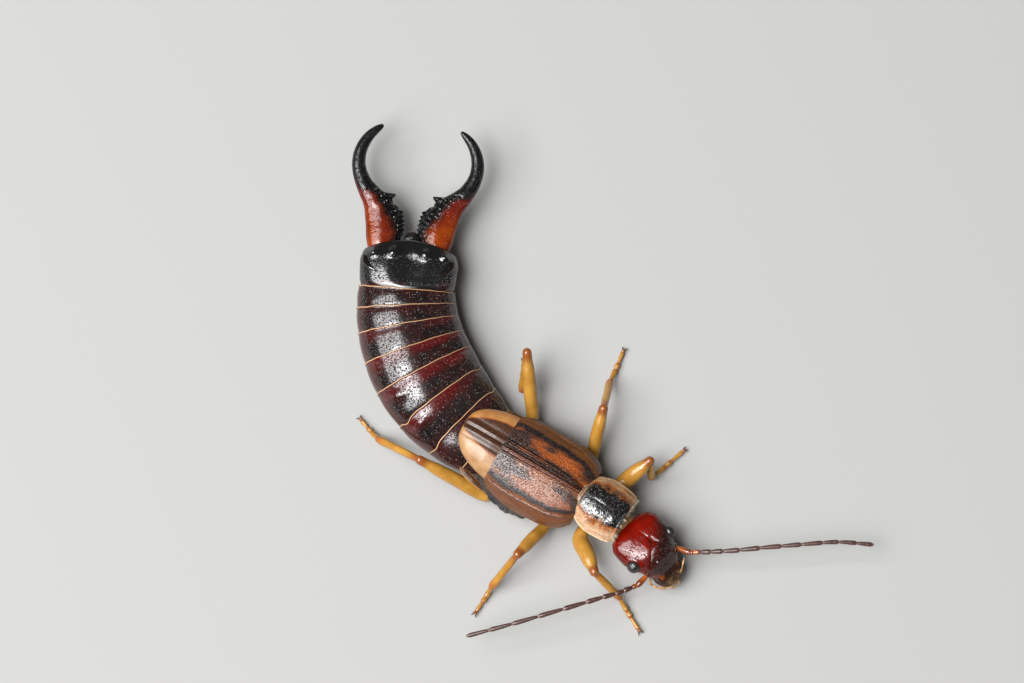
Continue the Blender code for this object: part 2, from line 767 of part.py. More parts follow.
# Hip, bend under the wing, knee, ankle and toe
LEGS = {
    "front_left": (
        (4.1, 0.4, 0.95),
        (4.45, 1.28, 0.95),
        (4.90, 2.30, 1.60),
        (5.16, 2.03, 0.42),
        (5.61, 3.46, 0.10),
    ),
    "front_right": (
        (4.0, -0.4, 0.90),
        (4.14, -1.20, 0.82),
        (5.23, -2.07, 1.32),
        (6.37, -2.25, 0.40),
        (7.52, -2.85, 0.10),
    ),
    "middle_left": (
        (3.0, 0.6, 0.75),
        (2.98, 1.50, 0.60),
        (2.55, 3.04, 1.82),
        (2.13, 4.24, 0.42),
        (1.94, 5.46, 0.10),
    ),
    "middle_right": (
        (2.8, -0.6, 0.75),
        (2.83, -1.45, 0.60),
        (2.61, -2.95, 1.50),
        (2.33, -4.25, 0.42),
        (2.29, -5.24, 0.10),
    ),
    "hind_left": (
        (0.9, 0.6, 0.72),
        (0.50, 1.60, 0.62),
        (-0.77, 3.33, 2.10),
        (-0.40, 2.38, 0.42),
        (-0.90, 3.30, 0.10),
    ),
    "hind_right": (
        (0.9, -0.6, 0.72),
        (0.50, -1.60, 0.62),
        (-2.08, -1.84, 1.55),
        (-3.85, -1.78, 0.42),
        (-4.76, -1.46, 0.10),
    ),
}
FEMUR = {
    "front": ((0.0, 0.24, 0.25), (0.3, 0.26, 0.28), (0.55, 0.30, 0.30), (1.0, 0.24, 0.25)),
    "middle": ((0.0, 0.24, 0.25), (0.3, 0.25, 0.25), (0.6, 0.26, 0.26), (1.0, 0.24, 0.24)),
    "hind": ((0.0, 0.24, 0.25), (0.3, 0.25, 0.25), (0.6, 0.27, 0.27), (1.0, 0.24, 0.24)),
}
TIBIA = ((0.0, 0.24, 0.24), (0.5, 0.25, 0.25), (1.0, 0.24, 0.24))
TARSUS = ((0.0, 0.22, 0.22), (0.45, 0.25, 0.24), (0.8, 0.20, 0.20), (1.0, 0.12, 0.13))
CLAW_LENGTH, CLAW_SPREAD = 0.26, 24


def claws(ankle, toe):
    """Two small claws that fork at the toe and curve down to the floor."""
    forward = Vector((toe[0] - ankle[0], toe[1] - ankle[1], 0)).normalized()
    made = []
    for hand in (1, -1):
        aim = Matrix.Rotation(math.radians(hand * CLAW_SPREAD), 3, "Z") @ forward
        start = Vector(toe) + Vector((0, 0, 0.03)) - aim * 0.04
        middle = start + aim * 0.6 * CLAW_LENGTH + Vector((0, 0, 0.02))
        end = start + aim * (CLAW_LENGTH + 0.1) - Vector((0, 0, 0.06))
        sizes = ((0.0, 0.08, 0.08), (0.6, 0.06, 0.06), (1.0, 0.03, 0.03))
        made.append(sweep("claw", (start, middle, end), sizes, sides=6, count=4, dome=(False, False)))
    return made


def leg(name):
    pair = name.split("_")[0]
    hip, bend, knee, ankle, toe = LEGS[name]
    femur_route = (hip, bend, Vector(bend).lerp(Vector(knee), 0.5), knee)
    femur = sweep(f"leg_{name}_femur", femur_route, FEMUR[pair], count=9)
    carrier = prothorax_block("grown_body", GAP) if pair == "front" else thorax("grown_body", GAP)
    cut(femur, [carrier])
    shin_route = (knee, Vector(knee).lerp(Vector(ankle), 0.5), ankle)
    shin = sweep(f"leg_{name}_tibia", shin_route, TIBIA, count=6, up=(0.3, 0.2, 1))
    cut(shin, [sweep("grown_femur", femur_route, FEMUR[pair], count=9, grow=GAP)])
    foot_route = (ankle, Vector(ankle).lerp(Vector(toe), 0.35) - Vector((0, 0, 0.13)), toe)
    foot = sweep(f"leg_{name}_tarsus", foot_route, TARSUS, count=8)
    join(foot, claws(ankle, toe))
    cut(foot, [sweep("grown_shin", shin_route, TIBIA, count=6, grow=GAP, up=(0.3, 0.2, 1))])
    flatten_feet(foot)


def finish():
    """Moves the origin under the middle of the outline, turns millimetres into metres and paints."""
    place = Matrix.Scale(MM, 4) @ Matrix.Translation((-MIDDLE[0], -MIDDLE[1], 0))
    for piece in bpy.data.objects:
        piece.data.transform(place)
        paint(piece)
        piece.data.shade_smooth()
        piece.data.set_sharp_from_angle(angle=math.radians(40))


def main():
    clear_scene()
    abdomen()
    end_segment()
    for hand in ("left", "right"):
        forceps(hand)
    pygidium()
    thorax()
    wings()
    prothorax()
    neck()
    eyes_and_head()
    mouthparts()
    for hand in ("left", "right"):
        antenna(hand)
    for name in LEGS:
        leg(name)
    finish()


main()
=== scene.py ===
# Looks of a male common earwig, life size, in its horn, leather and bristles.
# Sizes are millimetres in the body's own frame, as in the part's source: +X forwards along the thorax,
# +Y to the animal's left, +Z up, and zero where the abdomen starts to bend.
import functools
import math
import random

import bpy
from mathutils import Matrix, Vector


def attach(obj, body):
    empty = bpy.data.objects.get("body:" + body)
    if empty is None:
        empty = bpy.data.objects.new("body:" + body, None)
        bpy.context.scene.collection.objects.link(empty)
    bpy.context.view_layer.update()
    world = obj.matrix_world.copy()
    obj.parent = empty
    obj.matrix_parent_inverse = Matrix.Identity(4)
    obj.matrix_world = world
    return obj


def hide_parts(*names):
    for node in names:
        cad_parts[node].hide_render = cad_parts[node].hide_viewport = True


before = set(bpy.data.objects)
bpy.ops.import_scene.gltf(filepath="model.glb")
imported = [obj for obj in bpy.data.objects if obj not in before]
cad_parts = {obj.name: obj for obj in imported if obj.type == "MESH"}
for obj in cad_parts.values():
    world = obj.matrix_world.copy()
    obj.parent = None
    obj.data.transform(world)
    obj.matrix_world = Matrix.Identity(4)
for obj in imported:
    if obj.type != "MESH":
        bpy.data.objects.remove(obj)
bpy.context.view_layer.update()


# Abdomen, rings one to eight
# Eight telescoped rings of horn, each a back plate whose lower edges lap over a belly plate. Their rear
# edges end in a thin pale lip that stands over the next ring. Folds on rings two and three hold glands.

MM = 0.001
FRAME_ZERO = Vector((1.61, 1.415, 0))
# Degrees that the abdomen's midline has turned at its start, each millimetre and each millimetre squared
TURN_START, TURN_RATE, TURN_GROWTH = 4.0, 5.2, 0.5
MIDLINE_STEPS = 40
RING_EDGES = (-0.6, 0.53, 1.60, 2.74, 3.86, 4.77, 5.62, 6.31, 6.92)
# How far a rear ring's top tips forwards for each millimetre above the level that stays
REAR_LEAN, LEAN_LEVEL = 0.2, 1.15
# (behind the start, half width, top, underside)
ABDOMEN = (
    (-0.50, 0.86, 1.44, 0.44),
    (0.53, 1.42, 1.58, 0.30),
    (1.60, 1.68, 1.78, 0.14),
    (2.74, 1.84, 2.08, 0.03),
    (3.86, 1.90, 2.20, 0.00),
    (4.77, 1.87, 2.22, 0.00),
    (5.62, 1.83, 2.20, 0.01),
    (6.31, 1.79, 2.18, 0.08),
    (6.92, 1.73, 2.15, 0.20),
)
FIRST_RING_FRONT = -0.20
RING_SIDES = 112
RING_SQUARENESS = 2.25
# The share of its height, from the top, at which a ring is widest
RING_WIDEST = 0.56
# (share of the ring's length, depth under its outer surface) along the plate
RING_PLATE = (
    (-0.30, 0.13), (-0.12, 0.09), (-0.03, 0.055), (0.02, 0.040), (0.07, 0.030), (0.14, 0.023), (0.22, 0.017),
    (0.32, 0.012), (0.42, 0.008), (0.52, 0.006), (0.62, 0.005), (0.70, 0.006), (0.78, 0.010), (0.85, 0.016),
)
# (behind the rear edge, depth, level for the colours) round the lip and back under it
RING_LIP = (
    (-0.075, 0.018, 0.90), (-0.055, 0.018, 0.93), (-0.044, 0.010, 0.96), (-0.034, -0.004, 1.00),
    (-0.018, -0.008, 1.03), (-0.005, -0.003, 1.06), (0.0, 0.010, 1.09), (-0.010, 0.030, 1.12),
    (-0.06, 0.065, 1.15), (-0.20, 0.10, 1.18),
)
# (behind the start, aside, half length, half width) of the folds over the scent glands
GLANDS = ((2.36, 1.24, 0.13, 0.24), (3.46, 1.34, 0.15, 0.27))
GLAND_RISE, GLAND_BULGE = 0.09, 0.06
LIP_WAVER, LIP_NOTCH = 0.006, 0.09
# Degrees below the widest place at which the back plate ends in a groove, and the belly plate's inset
LAP_ANGLE, LAP_GROOVE, BELLY_INSET = 33, 0.045, 0.05


def slopes(places, values):
    """Slopes that keep a curve through the values from overshooting them."""
    steps = [(values[i + 1] - values[i]) / (places[i + 1] - places[i]) for i in range(len(places) - 1)]
    inner = [0.0 if a * b <= 0 else 2 * a * b / (a + b) for a, b in zip(steps, steps[1:])]
    return [steps[0], *inner, steps[-1]]


@functools.lru_cache(maxsize=None)
def columns_of(stations):
    """The stations' places, and each of their columns of values with its slopes."""
    places = [row[0] for row in stations]
    return places, [(column, slopes(places, column)) for column in zip(*[row[1:] for row in stations])]


def along(stations, place):
    """The values at a place on a smooth curve through stations of (place, value, value, ...)."""
    places, columns = columns_of(tuple(tuple(row) for row in stations))
    place = min(max(place, places[0]), places[-1])
    i = max(k for k in range(len(places) - 1) if places[k] <= place)
    span = places[i + 1] - places[i]
    t = (place - places[i]) / span
    return [
        (2 * t**3 - 3 * t**2 + 1) * column[i]
        + (t**3 - 2 * t**2 + t) * span * lean[i]
        + (3 * t**2 - 2 * t**3) * column[i + 1]
        + (t**3 - t**2) * span * lean[i + 1]
        for column, lean in columns
    ]


def power(value, exponent):
    """Raises a value to an exponent and keeps its sign."""
    return math.copysign(abs(value) ** exponent, value)


def squarish(turn, squareness):
    """Where a turn comes on a squarish round of radius one: how far aside and how far up."""
    return power(math.cos(turn), 2 / squareness), power(math.sin(turn), 2 / squareness)


def hump(distance, reach):
    """One at no distance, falling smoothly to nothing past the reach."""
    return math.exp(-((distance / reach) ** 2))


def smooth_skin():
    """Closes the seams of the piece just made, turns its faces outwards and shades it smooth."""
    bpy.ops.object.mode_set(mode="EDIT")
    bpy.ops.mesh.select_all(action="SELECT")
    bpy.ops.mesh.remove_doubles(threshold=1e-7)
    bpy.ops.mesh.normals_make_consistent(inside=False)
    bpy.ops.object.mode_set(mode="OBJECT")
    bpy.ops.object.shade_smooth()


def lay(name, rows, levels=None, closed=True):
    """Adds a flat grid and lays each of its rows on one row of points; closed joins the ends of the rows."""
    if closed:
        rows = [[*row, row[0]] for row in rows]
    bpy.ops.object.select_all(action="DESELECT")
    bpy.ops.mesh.primitive_grid_add(x_subdivisions=len(rows[0]) - 1, y_subdivisions=len(rows) - 1)
    piece = bpy.context.object
    piece.name = name
    piece.data.name = name
    for vert, point in zip(piece.data.vertices, [point for row in rows for point in row]):
        vert.co = (Vector(point) - FRAME_ZERO) * MM
    if levels:
        for corner in piece.data.uv_layers[0].data:
            corner.uv.y = levels[round(corner.uv.y * (len(rows) - 1))]
    smooth_skin()
    return piece


def middle_of(row):
    """The mean of a row's points."""
    return sum((Vector(point) for point in row), Vector()) / len(row)


def capped(rows):
    """The rows with each end drawn in to one point."""
    sides = len(rows[0])
    return [[middle_of(rows[0])] * sides, *rows, [middle_of(rows[-1])] * sides]


def turn_at(s):
    """How far the abdomen's midline has turned, s behind its start."""
    return math.radians(TURN_START + TURN_RATE * s + TURN_GROWTH * s * s)


@functools.lru_cache(maxsize=None)
def midline(s):
    """Place, rearward direction and leftward direction of the abdomen's midline, s behind its start."""
    place = Vector((0, 0, 0))
    bent = min(s, RING_EDGES[-1])
    for k in range(MIDLINE_STEPS):
        turn = turn_at(bent * (k + 0.5) / MIDLINE_STEPS)
        place += Vector((-math.cos(turn), math.sin(turn), 0)) * bent / MIDLINE_STEPS
    turn = turn_at(bent)
    rearward = Vector((-math.cos(turn), math.sin(turn), 0))
    return place + rearward * (s - bent), rearward, Vector((math.sin(turn), math.cos(turn), 0))


def tipped(s, aside, height):
    """A point of the abdomen. Towards the rear its upright rings tip forwards at the top."""
    place, rearward, left = midline(s)
    lean = REAR_LEAN * min(max(s / RING_EDGES[-1], 0.0), 1.0) ** 2
    return place + left * aside - rearward * lean * (height - LEAN_LEVEL) + Vector((0, 0, height))


def ring_row(s, depth, number, lip):
    """One row of points round the abdomen, at a depth under its outer surface. A lip isn't quite straight."""
    half_width, top, bottom = along(ABDOMEN, s)
    middle = top - RING_WIDEST * (top - bottom)
    row = []
    for k in range(RING_SIDES):
        turn = math.tau * k / RING_SIDES
        waver = lip * LIP_WAVER * (math.sin(9 * turn + 2 * number) + math.sin(17 * turn + number))
        from_top = math.degrees(math.acos(min(max(math.sin(turn), -1.0), 1.0)))
        notch = LIP_NOTCH * hump(from_top - 57, 9) * lip if number in (2, 3) else 0.0
        wide, high = squarish(turn, RING_SQUARENESS)
        # The edge of the back plate, low on each side, laps over the belly plate
        below = math.degrees(math.asin(math.sin(turn)))
        lap = LAP_GROOVE * hump(below + LAP_ANGLE, 4) + (BELLY_INSET if below < -LAP_ANGLE - 2 else 0.0)
        aside = wide * (half_width - depth - lap)
        reach = top - middle - depth if high > 0 else middle - bottom - depth / 2 - lap
        height = middle + high * reach
        for gland_s, gland_aside, long, broad in GLANDS:
            swell = hump(s - gland_s, long) * hump(abs(aside) - gland_aside, broad) if high > 0 else 0.0
            height += GLAND_RISE * swell
            aside += math.copysign(GLAND_BULGE * swell, aside)
        row.append(tipped(s + waver - notch, aside, max(height, 0.0)))
    return row


def new_look(name, roughness, coat=0.0, coat_roughness=0.08, soft=0.0, specular=0.5):
    """A material of its own with the shader's plain settings."""
    look = bpy.data.materials.new(name)
    look.use_nodes = True
    shader = look.node_tree.nodes["Principled BSDF"]
    shader.inputs["Roughness"].default_value = roughness
    shader.inputs["Specular IOR Level"].default_value = specular
    shader.inputs["Coat Weight"].default_value = coat
    shader.inputs["Coat Roughness"].default_value = coat_roughness
    shader.inputs["Subsurface Weight"].default_value = soft
    shader.inputs["Subsurface Scale"].default_value = 0.0003
    return look, look.node_tree, shader


def add(tree, kind, *values, output=0, **settings):
    """Adds a shader node. Values go to its inputs in order: a socket is linked, and None is left alone."""
    made = tree.nodes.new("ShaderNode" + kind)
    for name, value in settings.items():
        setattr(made, name, value)
    for socket, value in zip(made.inputs, values):
        if isinstance(value, bpy.types.NodeSocket):
            tree.links.new(value, socket)
        elif value is not None:
            socket.default_value = value
    return made.outputs[output]


def calc(tree, operation, a, b=None):
    """Reckons with one or two values."""
    return add(tree, "Math", a, b, operation=operation)


def fade(tree, value, low, high):
    """Goes smoothly from nothing at the low value to one at the high value."""
    return add(tree, "MapRange", value, low, high, 0.0, 1.0, interpolation_type="SMOOTHSTEP")


def between(tree, share, first, second):
    """A number or socket that gives way to a second one as the share goes from nothing to one."""
    return add(tree, "MapRange", share, 0.0, 1.0, first, second)


def noise(tree, place, per_mm, detail=2.0, roughness=0.5):
    """Soft clouds of so many to the millimetre."""
    return add(tree, "TexNoise", place, None, per_mm / MM, detail, roughness)


def blotches(tree, place, per_mm, detail=2.0, low=0.35, high=0.65):
    """Soft-edged patches of noise."""
    return fade(tree, noise(tree, place, per_mm, detail), low, high)


def cells(tree, place, per_mm, randomness=1.0):
    """Distance from the nearest of scattered points, which rises from nothing in the middle of each cell."""
    made = tree.nodes.new("ShaderNodeTexVoronoi")
    tree.links.new(place, made.inputs["Vector"])
    made.inputs["Scale"].default_value = per_mm / MM
    made.inputs["Randomness"].default_value = randomness
    return made.outputs["Distance"]


def tint(tree, share, first, second):
    """Mixes two colours, each a socket or (red, green, blue)."""
    made = tree.nodes.new("ShaderNodeMix")
    made.data_type = "RGBA"
    for socket, value in ((made.inputs[0], share), (made.inputs[6], first), (made.inputs[7], second)):
        if isinstance(value, bpy.types.NodeSocket):
            tree.links.new(value, socket)
        else:
            socket.default_value = value if isinstance(value, float) else (*value, 1.0)
    return made.outputs[2]


def dent(tree, height, depth, normal=None):
    """A bump whose height of one stands for so many millimetres."""
    made = tree.nodes.new("ShaderNodeBump")
    made.inputs["Distance"].default_value = depth * MM
    tree.links.new(height, made.inputs["Height"])
    if normal:
        tree.links.new(normal, made.inputs["Normal"])
    return made.outputs["Normal"]


def places(tree):
    """The object's own coordinates, and the shares across and along a laid piece."""
    source = tree.nodes.new("ShaderNodeTexCoord")
    split = tree.nodes.new("ShaderNodeSeparateXYZ")
    tree.links.new(source.outputs["UV"], split.inputs[0])
    return source.outputs["Object"], split.outputs["X"], split.outputs["Y"]


def around(tree, part, round_share):
    """How far a place round a laid piece faces up, as the part SINE, or to the left, as COSINE."""
    return calc(tree, part, calc(tree, "MULTIPLY", round_share, math.tau))


def paint(shader, colour, normal=None, roughness=None):
    """Links what has been worked out for the surface to its shader."""
    for name, socket in (("Base Color", colour), ("Normal", normal), ("Roughness", roughness)):
        if socket:
            shader.id_data.links.new(socket, shader.inputs[name])


def fit(piece, look, node=None):
    """Gives a piece its look, fixes it to the body, and hides the solid it stands for."""
    piece.data.materials.append(look)
    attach(piece, "root")
    if node:
        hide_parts(node)


PITCH_BLACK, RING_BROWN, RING_RED = (0.005, 0.003, 0.003), (0.022, 0.005, 0.004), (0.070, 0.002, 0.002)
# How strongly the red shows on each ring
REDNESS = (0.2, 0.5, 1.2, 1.4, 1.2, 0.7, 0.25, 0.25)
SIDE_RED, SIDE_OLIVE, LIP_TAN = (0.060, 0.008, 0.005), (0.028, 0.014, 0.007), (0.46, 0.27, 0.14)


def ring_look(name, seed, redness):
    """Near-black horn, densely pitted, with painted glints as pale dots among the pits, clouds of red towards
    the rear and a pale lip.
    """
    look, tree, shader = new_look(name, 0.2, specular=0.7)
    place, round_share, share = places(tree)
    moved = add(tree, "Mapping", place, (seed * 0.013, seed * 0.007, 0.0))
    upness, leftness = around(tree, "SINE", round_share), around(tree, "COSINE", round_share)
    # Red shows through the thin rear band of each ring, in clouds
    clouds = fade(tree, noise(tree, moved, 0.45, 4.0, 0.6), 0.32, 0.60)
    band = calc(tree, "MULTIPLY", fade(tree, share, 0.40, 0.85), clouds)
    flush = calc(tree, "MULTIPLY", calc(tree, "MULTIPLY", band, redness), fade(tree, upness, 0.05, 0.5))
    base = tint(tree, blotches(tree, moved, 2.6, 4.0, 0.35, 0.7), PITCH_BLACK, RING_BROWN)
    colour = tint(tree, flush, base, RING_RED)
    flanks = calc(tree, "SUBTRACT", 1.0, fade(tree, upness, 0.1, 0.6))
    side_colour = tint(tree, fade(tree, leftness, -0.3, 0.3), SIDE_RED, SIDE_OLIVE)
    colour = tint(tree, calc(tree, "MULTIPLY", flanks, 0.85), colour, side_colour)
    colour = tint(tree, fade(tree, share, 0.985, 1.01), colour, LIP_TAN)
    # Dense round pits everywhere but on the smooth rear band and the flanks, with small pale dots among them
    # that are painted glints
    pits = fade(tree, cells(tree, place, 18.0), 0.12, 0.44)
    pitted = calc(tree, "MULTIPLY", fade(tree, upness, 0.2, 0.5), fade(tree, share, 0.95, 0.80))
    pits = between(tree, pitted, 1.0, pits)
    # Painted glints: scattered pale grey dots painted into the colour where light would sparkle off the pits
    rims_and_painted_glints = calc(tree, "MULTIPLY", fade(tree, cells(tree, moved, 12.0), 0.20, 0.09), pitted)
    normal = dent(tree, noise(tree, moved, 5.0, 3.0), 0.003, dent(tree, pits, 0.036))
    paint(shader, tint(tree, rims_and_painted_glints, colour, (0.30, 0.28, 0.28)), normal, between(tree, pits, 0.25, 0.15))
    return look


for number in range(1, 9):
    front, rear = RING_EDGES[number - 1] if number > 1 else FIRST_RING_FRONT, RING_EDGES[number]
    rows = [ring_row(front + share * (rear - front), depth, number, 0.0) for share, depth in RING_PLATE]
    rows += [ring_row(rear + behind, depth, number, 1.0) for behind, depth, _ in RING_LIP]
    levels = [share for share, _ in RING_PLATE] + [level for _, _, level in RING_LIP]
    ring = lay(f"ring_{number}", capped(rows), [levels[0], *levels, levels[-1]])
    # Two rings make one solid
    node = f"abdomen_{number // 2}" if number % 2 == 0 else None
    fit(ring, ring_look(f"ring_{number}_horn", number, REDNESS[number - 1]), node)


# Last ring
# The largest back plate, black and glossy, smooth along its front edge and wrinkled behind. Two pairs of
# knobs stand over the roots of the forceps, a ridge curls forwards from each side, and the middle sinks.

LAST_RING = 1.78
LAST_RING_BOW = 0.42
# (behind the front edge, half width, top, underside)
LAST_RING_SIZES = (
    (-0.30, 1.58, 2.00, 0.30),
    (0.0, 1.66, 2.09, 0.26),
    (0.25, 1.71, 2.12, 0.27),
    (0.5, 1.73, 2.12, 0.30),
    (1.05, 1.75, 2.08, 0.45),
    (1.45, 1.69, 1.99, 0.60),
    (1.70, 1.62, 1.88, 0.74),
    (1.78, 1.58, 1.82, 0.80),
)
# (behind, aside, radius, stand)
KNOBS = ((1.32, 0.56, 0.20, 0.16), (1.38, 1.30, 0.19, 0.17))
# (behind, aside) along the curled ridge of each side
SIDE_RIDGE = ((1.20, 1.60), (1.00, 1.57), (0.82, 1.48), (0.67, 1.34), (0.57, 1.16))
LAST_SIDES = 216
RIDGE_STAND = 0.045
SIDES = (("left", 1), ("right", -1))


def last_shape(behind):
    """Half width, top, middle and underside there, squareness, and share of the way to the rear edge."""
    half_width, top, bottom = along(LAST_RING_SIZES, behind)
    squareness = 2.3 + 0.6 * min(max(behind / 0.9, 0.0), 1.0)
    return half_width, top, 0.5 * (top + bottom), bottom, squareness, min(max(behind / LAST_RING, 0.0), 1.0)


def last_row(behind, depth):
    """One row round the last ring, whose rear edge bows backwards in the middle."""
    half_width, top, middle, bottom, squareness, share = last_shape(behind)
    bow = LAST_RING_BOW * share**2
    row = []
    for k in range(LAST_SIDES):
        turn = math.tau * k / LAST_SIDES
        wide, high = squarish(turn, squareness)
        aside = wide * (half_width - depth)
        height = middle + high * ((top - middle if high > 0 else middle - bottom) - depth)
        if high > 0:
            height -= 0.09 * math.sin(math.pi * share) * hump(aside, 0.5)
            height -= 0.05 * hump(behind - 1.02, 0.22) * hump(aside, 0.42)
            for knob_behind, knob_aside, radius, stand in KNOBS:
                height += stand * hump(behind - knob_behind, radius) * hump(abs(aside) - knob_aside, radius)
        back = RING_EDGES[-1] + behind - bow * (aside / half_width) ** 2
        row.append(tipped(back, aside, height))
    return row


def last_surface(behind, aside):
    """A point on the top of the last ring."""
    half_width, top, middle, _, squareness, share = last_shape(behind)
    high = max(1 - abs(aside / half_width) ** squareness, 0.0) ** (1 / squareness)
    back = RING_EDGES[-1] + behind - LAST_RING_BOW * share**2 * (aside / half_width) ** 2
    return tipped(back, aside, middle + high * (top - middle))


LAST_PROFILE = [
    *[(-0.28 + 0.09 * k, 0.10 - 0.03 * k) for k in range(3)],
    *[(0.03 * k, 0.02 * hump(0.03 * k, 0.06)) for k in range(57)],
    (1.71, 0.004), (1.745, 0.018), (1.765, 0.045), (1.765, 0.09), (1.72, 0.14), (1.60, 0.17), (1.45, 0.19),
]
rows = [last_row(behind, depth) for behind, depth in LAST_PROFILE]
last_ring = lay("last_ring", capped(rows), [-1.0, *[behind for behind, _ in LAST_PROFILE], 2.0])
look, tree, shader = new_look("last_ring_horn", 0.16, specular=1.0)
place, round_share, behind = places(tree)
upness = around(tree, "SINE", round_share)
blush = calc(tree, "MULTIPLY", fade(tree, behind, 0.45, 0.1), blotches(tree, place, 1.2, 2.0, 0.4, 0.7))
colour = tint(tree, blush, (0.005, 0.005, 0.005), (0.035, 0.006, 0.008))
flanks = calc(tree, "MULTIPLY", fade(tree, upness, 0.2, -0.5), 0.8)
colour = tint(tree, flanks, colour, (0.045, 0.012, 0.007))
pits = fade(tree, cells(tree, place, 16.0), 0.12, 0.44)
middle_band = calc(tree, "MULTIPLY", fade(tree, behind, 0.10, 0.35), fade(tree, behind, 1.25, 0.95))
pits = between(tree, middle_band, 1.0, pits)
wrinkles = between(tree, fade(tree, behind, 0.3, 0.8), 0.5, noise(tree, place, 5.0, 5.0, 0.6))
normal = dent(tree, pits, 0.034, dent(tree, wrinkles, 0.014))
paint(shader, colour, normal, between(tree, pits, 0.40, 0.15))
fit(last_ring, look, "abdomen_end")


def smooth_route(route, count):
    """Evenly spread points on a smooth curve through the route's own points."""
    route = [Vector(point) for point in route]
    lengths = [0.0]
    for a, b in zip(route, route[1:]):
        lengths.append(lengths[-1] + (b - a).length)
    stations = [(place, *point) for place, point in zip(lengths, route)]
    return [Vector(along(stations, lengths[-1] * k / (count - 1))) for k in range(count)]


def limb_rows(route, sizes, count, sides, up=(0, 0, 1), ends=(True, True), fold=None):
    """Rows round a limb on a route, and each row's share of its length.

    Sizes are (share of the length, half across, half thick). ends says which ends are rounded off, and fold
    gives how far the surface stands out at a share.
    """
    points = smooth_route(route, count)
    last = count - 1
    stations = []
    for k, point in enumerate(points):
        tangent = (points[min(k + 1, last)] - points[max(k - 1, 0)]).normalized()
        across, thick = along(sizes, k / last)
        stations.append((point, tangent, across, thick, k / last))
    bends = [math.radians(angle) for angle in (20, 40, 58, 73, 84)]
    if ends[0]:
        point, tangent, across, thick, share = stations[0]
        reach = min(across, thick)
        stations[:0] = [
            (point - tangent * reach * math.sin(a), tangent, across * math.cos(a), thick * math.cos(a), share)
            for a in reversed(bends)
        ]
    if ends[1]:
        point, tangent, across, thick, share = stations[-1]
        reach = min(across, thick)
        stations += [
            (point + tangent * reach * math.sin(a), tangent, across * math.cos(a), thick * math.cos(a), share)
            for a in bends
        ]
    rows = []
    for point, tangent, across, thick, share in stations:
        side = Vector(up).cross(tangent).normalized()
        lift = tangent.cross(side)
        swell = fold(share) if fold else 0.0
        rows.append([
            point
            + side * (across + swell) * math.cos(math.tau * n / sides)
            + lift * (thick + swell) * math.sin(math.tau * n / sides)
            for n in range(sides)
        ])
    return capped(rows), [stations[0][4], *[s[4] for s in stations], stations[-1][4]]


def round_sizes(*sizes, scale=1.0):
    """Sizes of a limb that is as thick as it is wide, from (share of the length, half width)."""
    return [(share, half * scale, half * scale) for share, half in sizes]


def limb(name, look, slot, route, sizes, count, sides, node=None, **ways):
    """Makes a limb on a route as a piece of its own, and gives its rows."""
    rows, levels = limb_rows(route, sizes, count, sides, **ways)
    fit(lay(name, rows, levels), look, node)
    return rows


# The curled ridges are smooth and polished, without pits
RIDGE_SIZES = round_sizes((0.0, 0.04), (0.3, 0.085), (0.7, 0.085), (1.0, 0.03))
ridge_look, tree, shader = new_look("last_ring_ridge_horn", 0.12, specular=1.0)
place, _, _ = places(tree)
colour = tint(tree, noise(tree, place, 3.0), (0.004, 0.004, 0.004), (0.012, 0.006, 0.005))
paint(shader, colour, dent(tree, noise(tree, place, 9.0, 2.0), 0.004))
for hand, side in SIDES:
    route = [last_surface(behind, side * aside) + Vector((0, 0, RIDGE_STAND)) for behind, aside in SIDE_RIDGE]
    limb(f"last_ring_ridge_{hand}", ridge_look.copy(), "abdomen_end", route, RIDGE_SIZES, 40, 20)


# Forceps
# Two horn pincers, flat and broad at the root, where the inner edge is a blade with blunt teeth and one
# pointed tooth, then round and curved to a sharp tip. Polished orange-red that turns black.

FORCEPS_ROOT = {"left": 0.84, "right": 0.99}
FORCEPS_SETBACK = 1.76
FORCEPS_HEIGHT = 1.28
FORCEPS_RISE = 0.42
FORCEPS_SPREAD = {"left": 10.0, "right": 6.5}
# (behind the root, outer edge aside, inner edge aside, half thickness)
FORCEPS_ARM = (
    (-0.42, 0.56, -0.44, 0.30),
    (-0.15, 0.61, -0.56, 0.35),
    (0.10, 0.63, -0.65, 0.35),
    (0.45, 0.63, -0.69, 0.33),
    (0.80, 0.65, -0.66, 0.31),
    (1.00, 0.66, -0.58, 0.30),
    (1.18, 0.68, -0.34, 0.30),
    (1.42, 0.74, -0.16, 0.29),
    (1.66, 0.84, 0.10, 0.28),
    (1.90, 0.94, 0.32, 0.27),
)
# The curved arm behind it: (aside, behind, half width, half thickness)
FORCEPS_HOOK = (
    (0.71, 2.12, 0.285, 0.26),
    (0.79, 2.40, 0.26, 0.25),
    (0.82, 2.68, 0.245, 0.24),
    (0.79, 2.96, 0.235, 0.23),
    (0.70, 3.24, 0.22, 0.22),
    (0.55, 3.50, 0.20, 0.20),
    (0.37, 3.71, 0.175, 0.17),
    (0.18, 3.86, 0.145, 0.14),
    (0.00, 3.97, 0.10, 0.10),
    (-0.10, 4.02, 0.05, 0.05),
)
# (behind the root, how far it stands in from the blade, half its length) of the teeth
FORCEPS_TEETH = (
    (0.10, 0.06, 0.045), (0.26, 0.07, 0.045), (0.42, 0.08, 0.045), (0.58, 0.085, 0.045), (0.74, 0.09, 0.048),
    (0.91, 0.10, 0.055), (1.12, 0.05, 0.05), (1.29, 0.06, 0.050), (1.47, 0.30, 0.095),
)
# (share of the length, how far inward from the outer edge the black begins, from 1 down to -1)
FORCEPS_BLACK = (
    (0.0, 0.66), (0.16, 0.50), (0.29, 0.06), (0.36, 0.14), (0.42, 0.20), (0.47, -0.10), (0.53, -0.9),
    (0.57, -1.2),
)
FORCEPS_SIDES = 44
FORCEPS_SQUARENESS = 2.2
# The step from row to row of the root, and the rows of the curved arm
ROOT_STEP, HOOK_ROWS = 0.03, 72


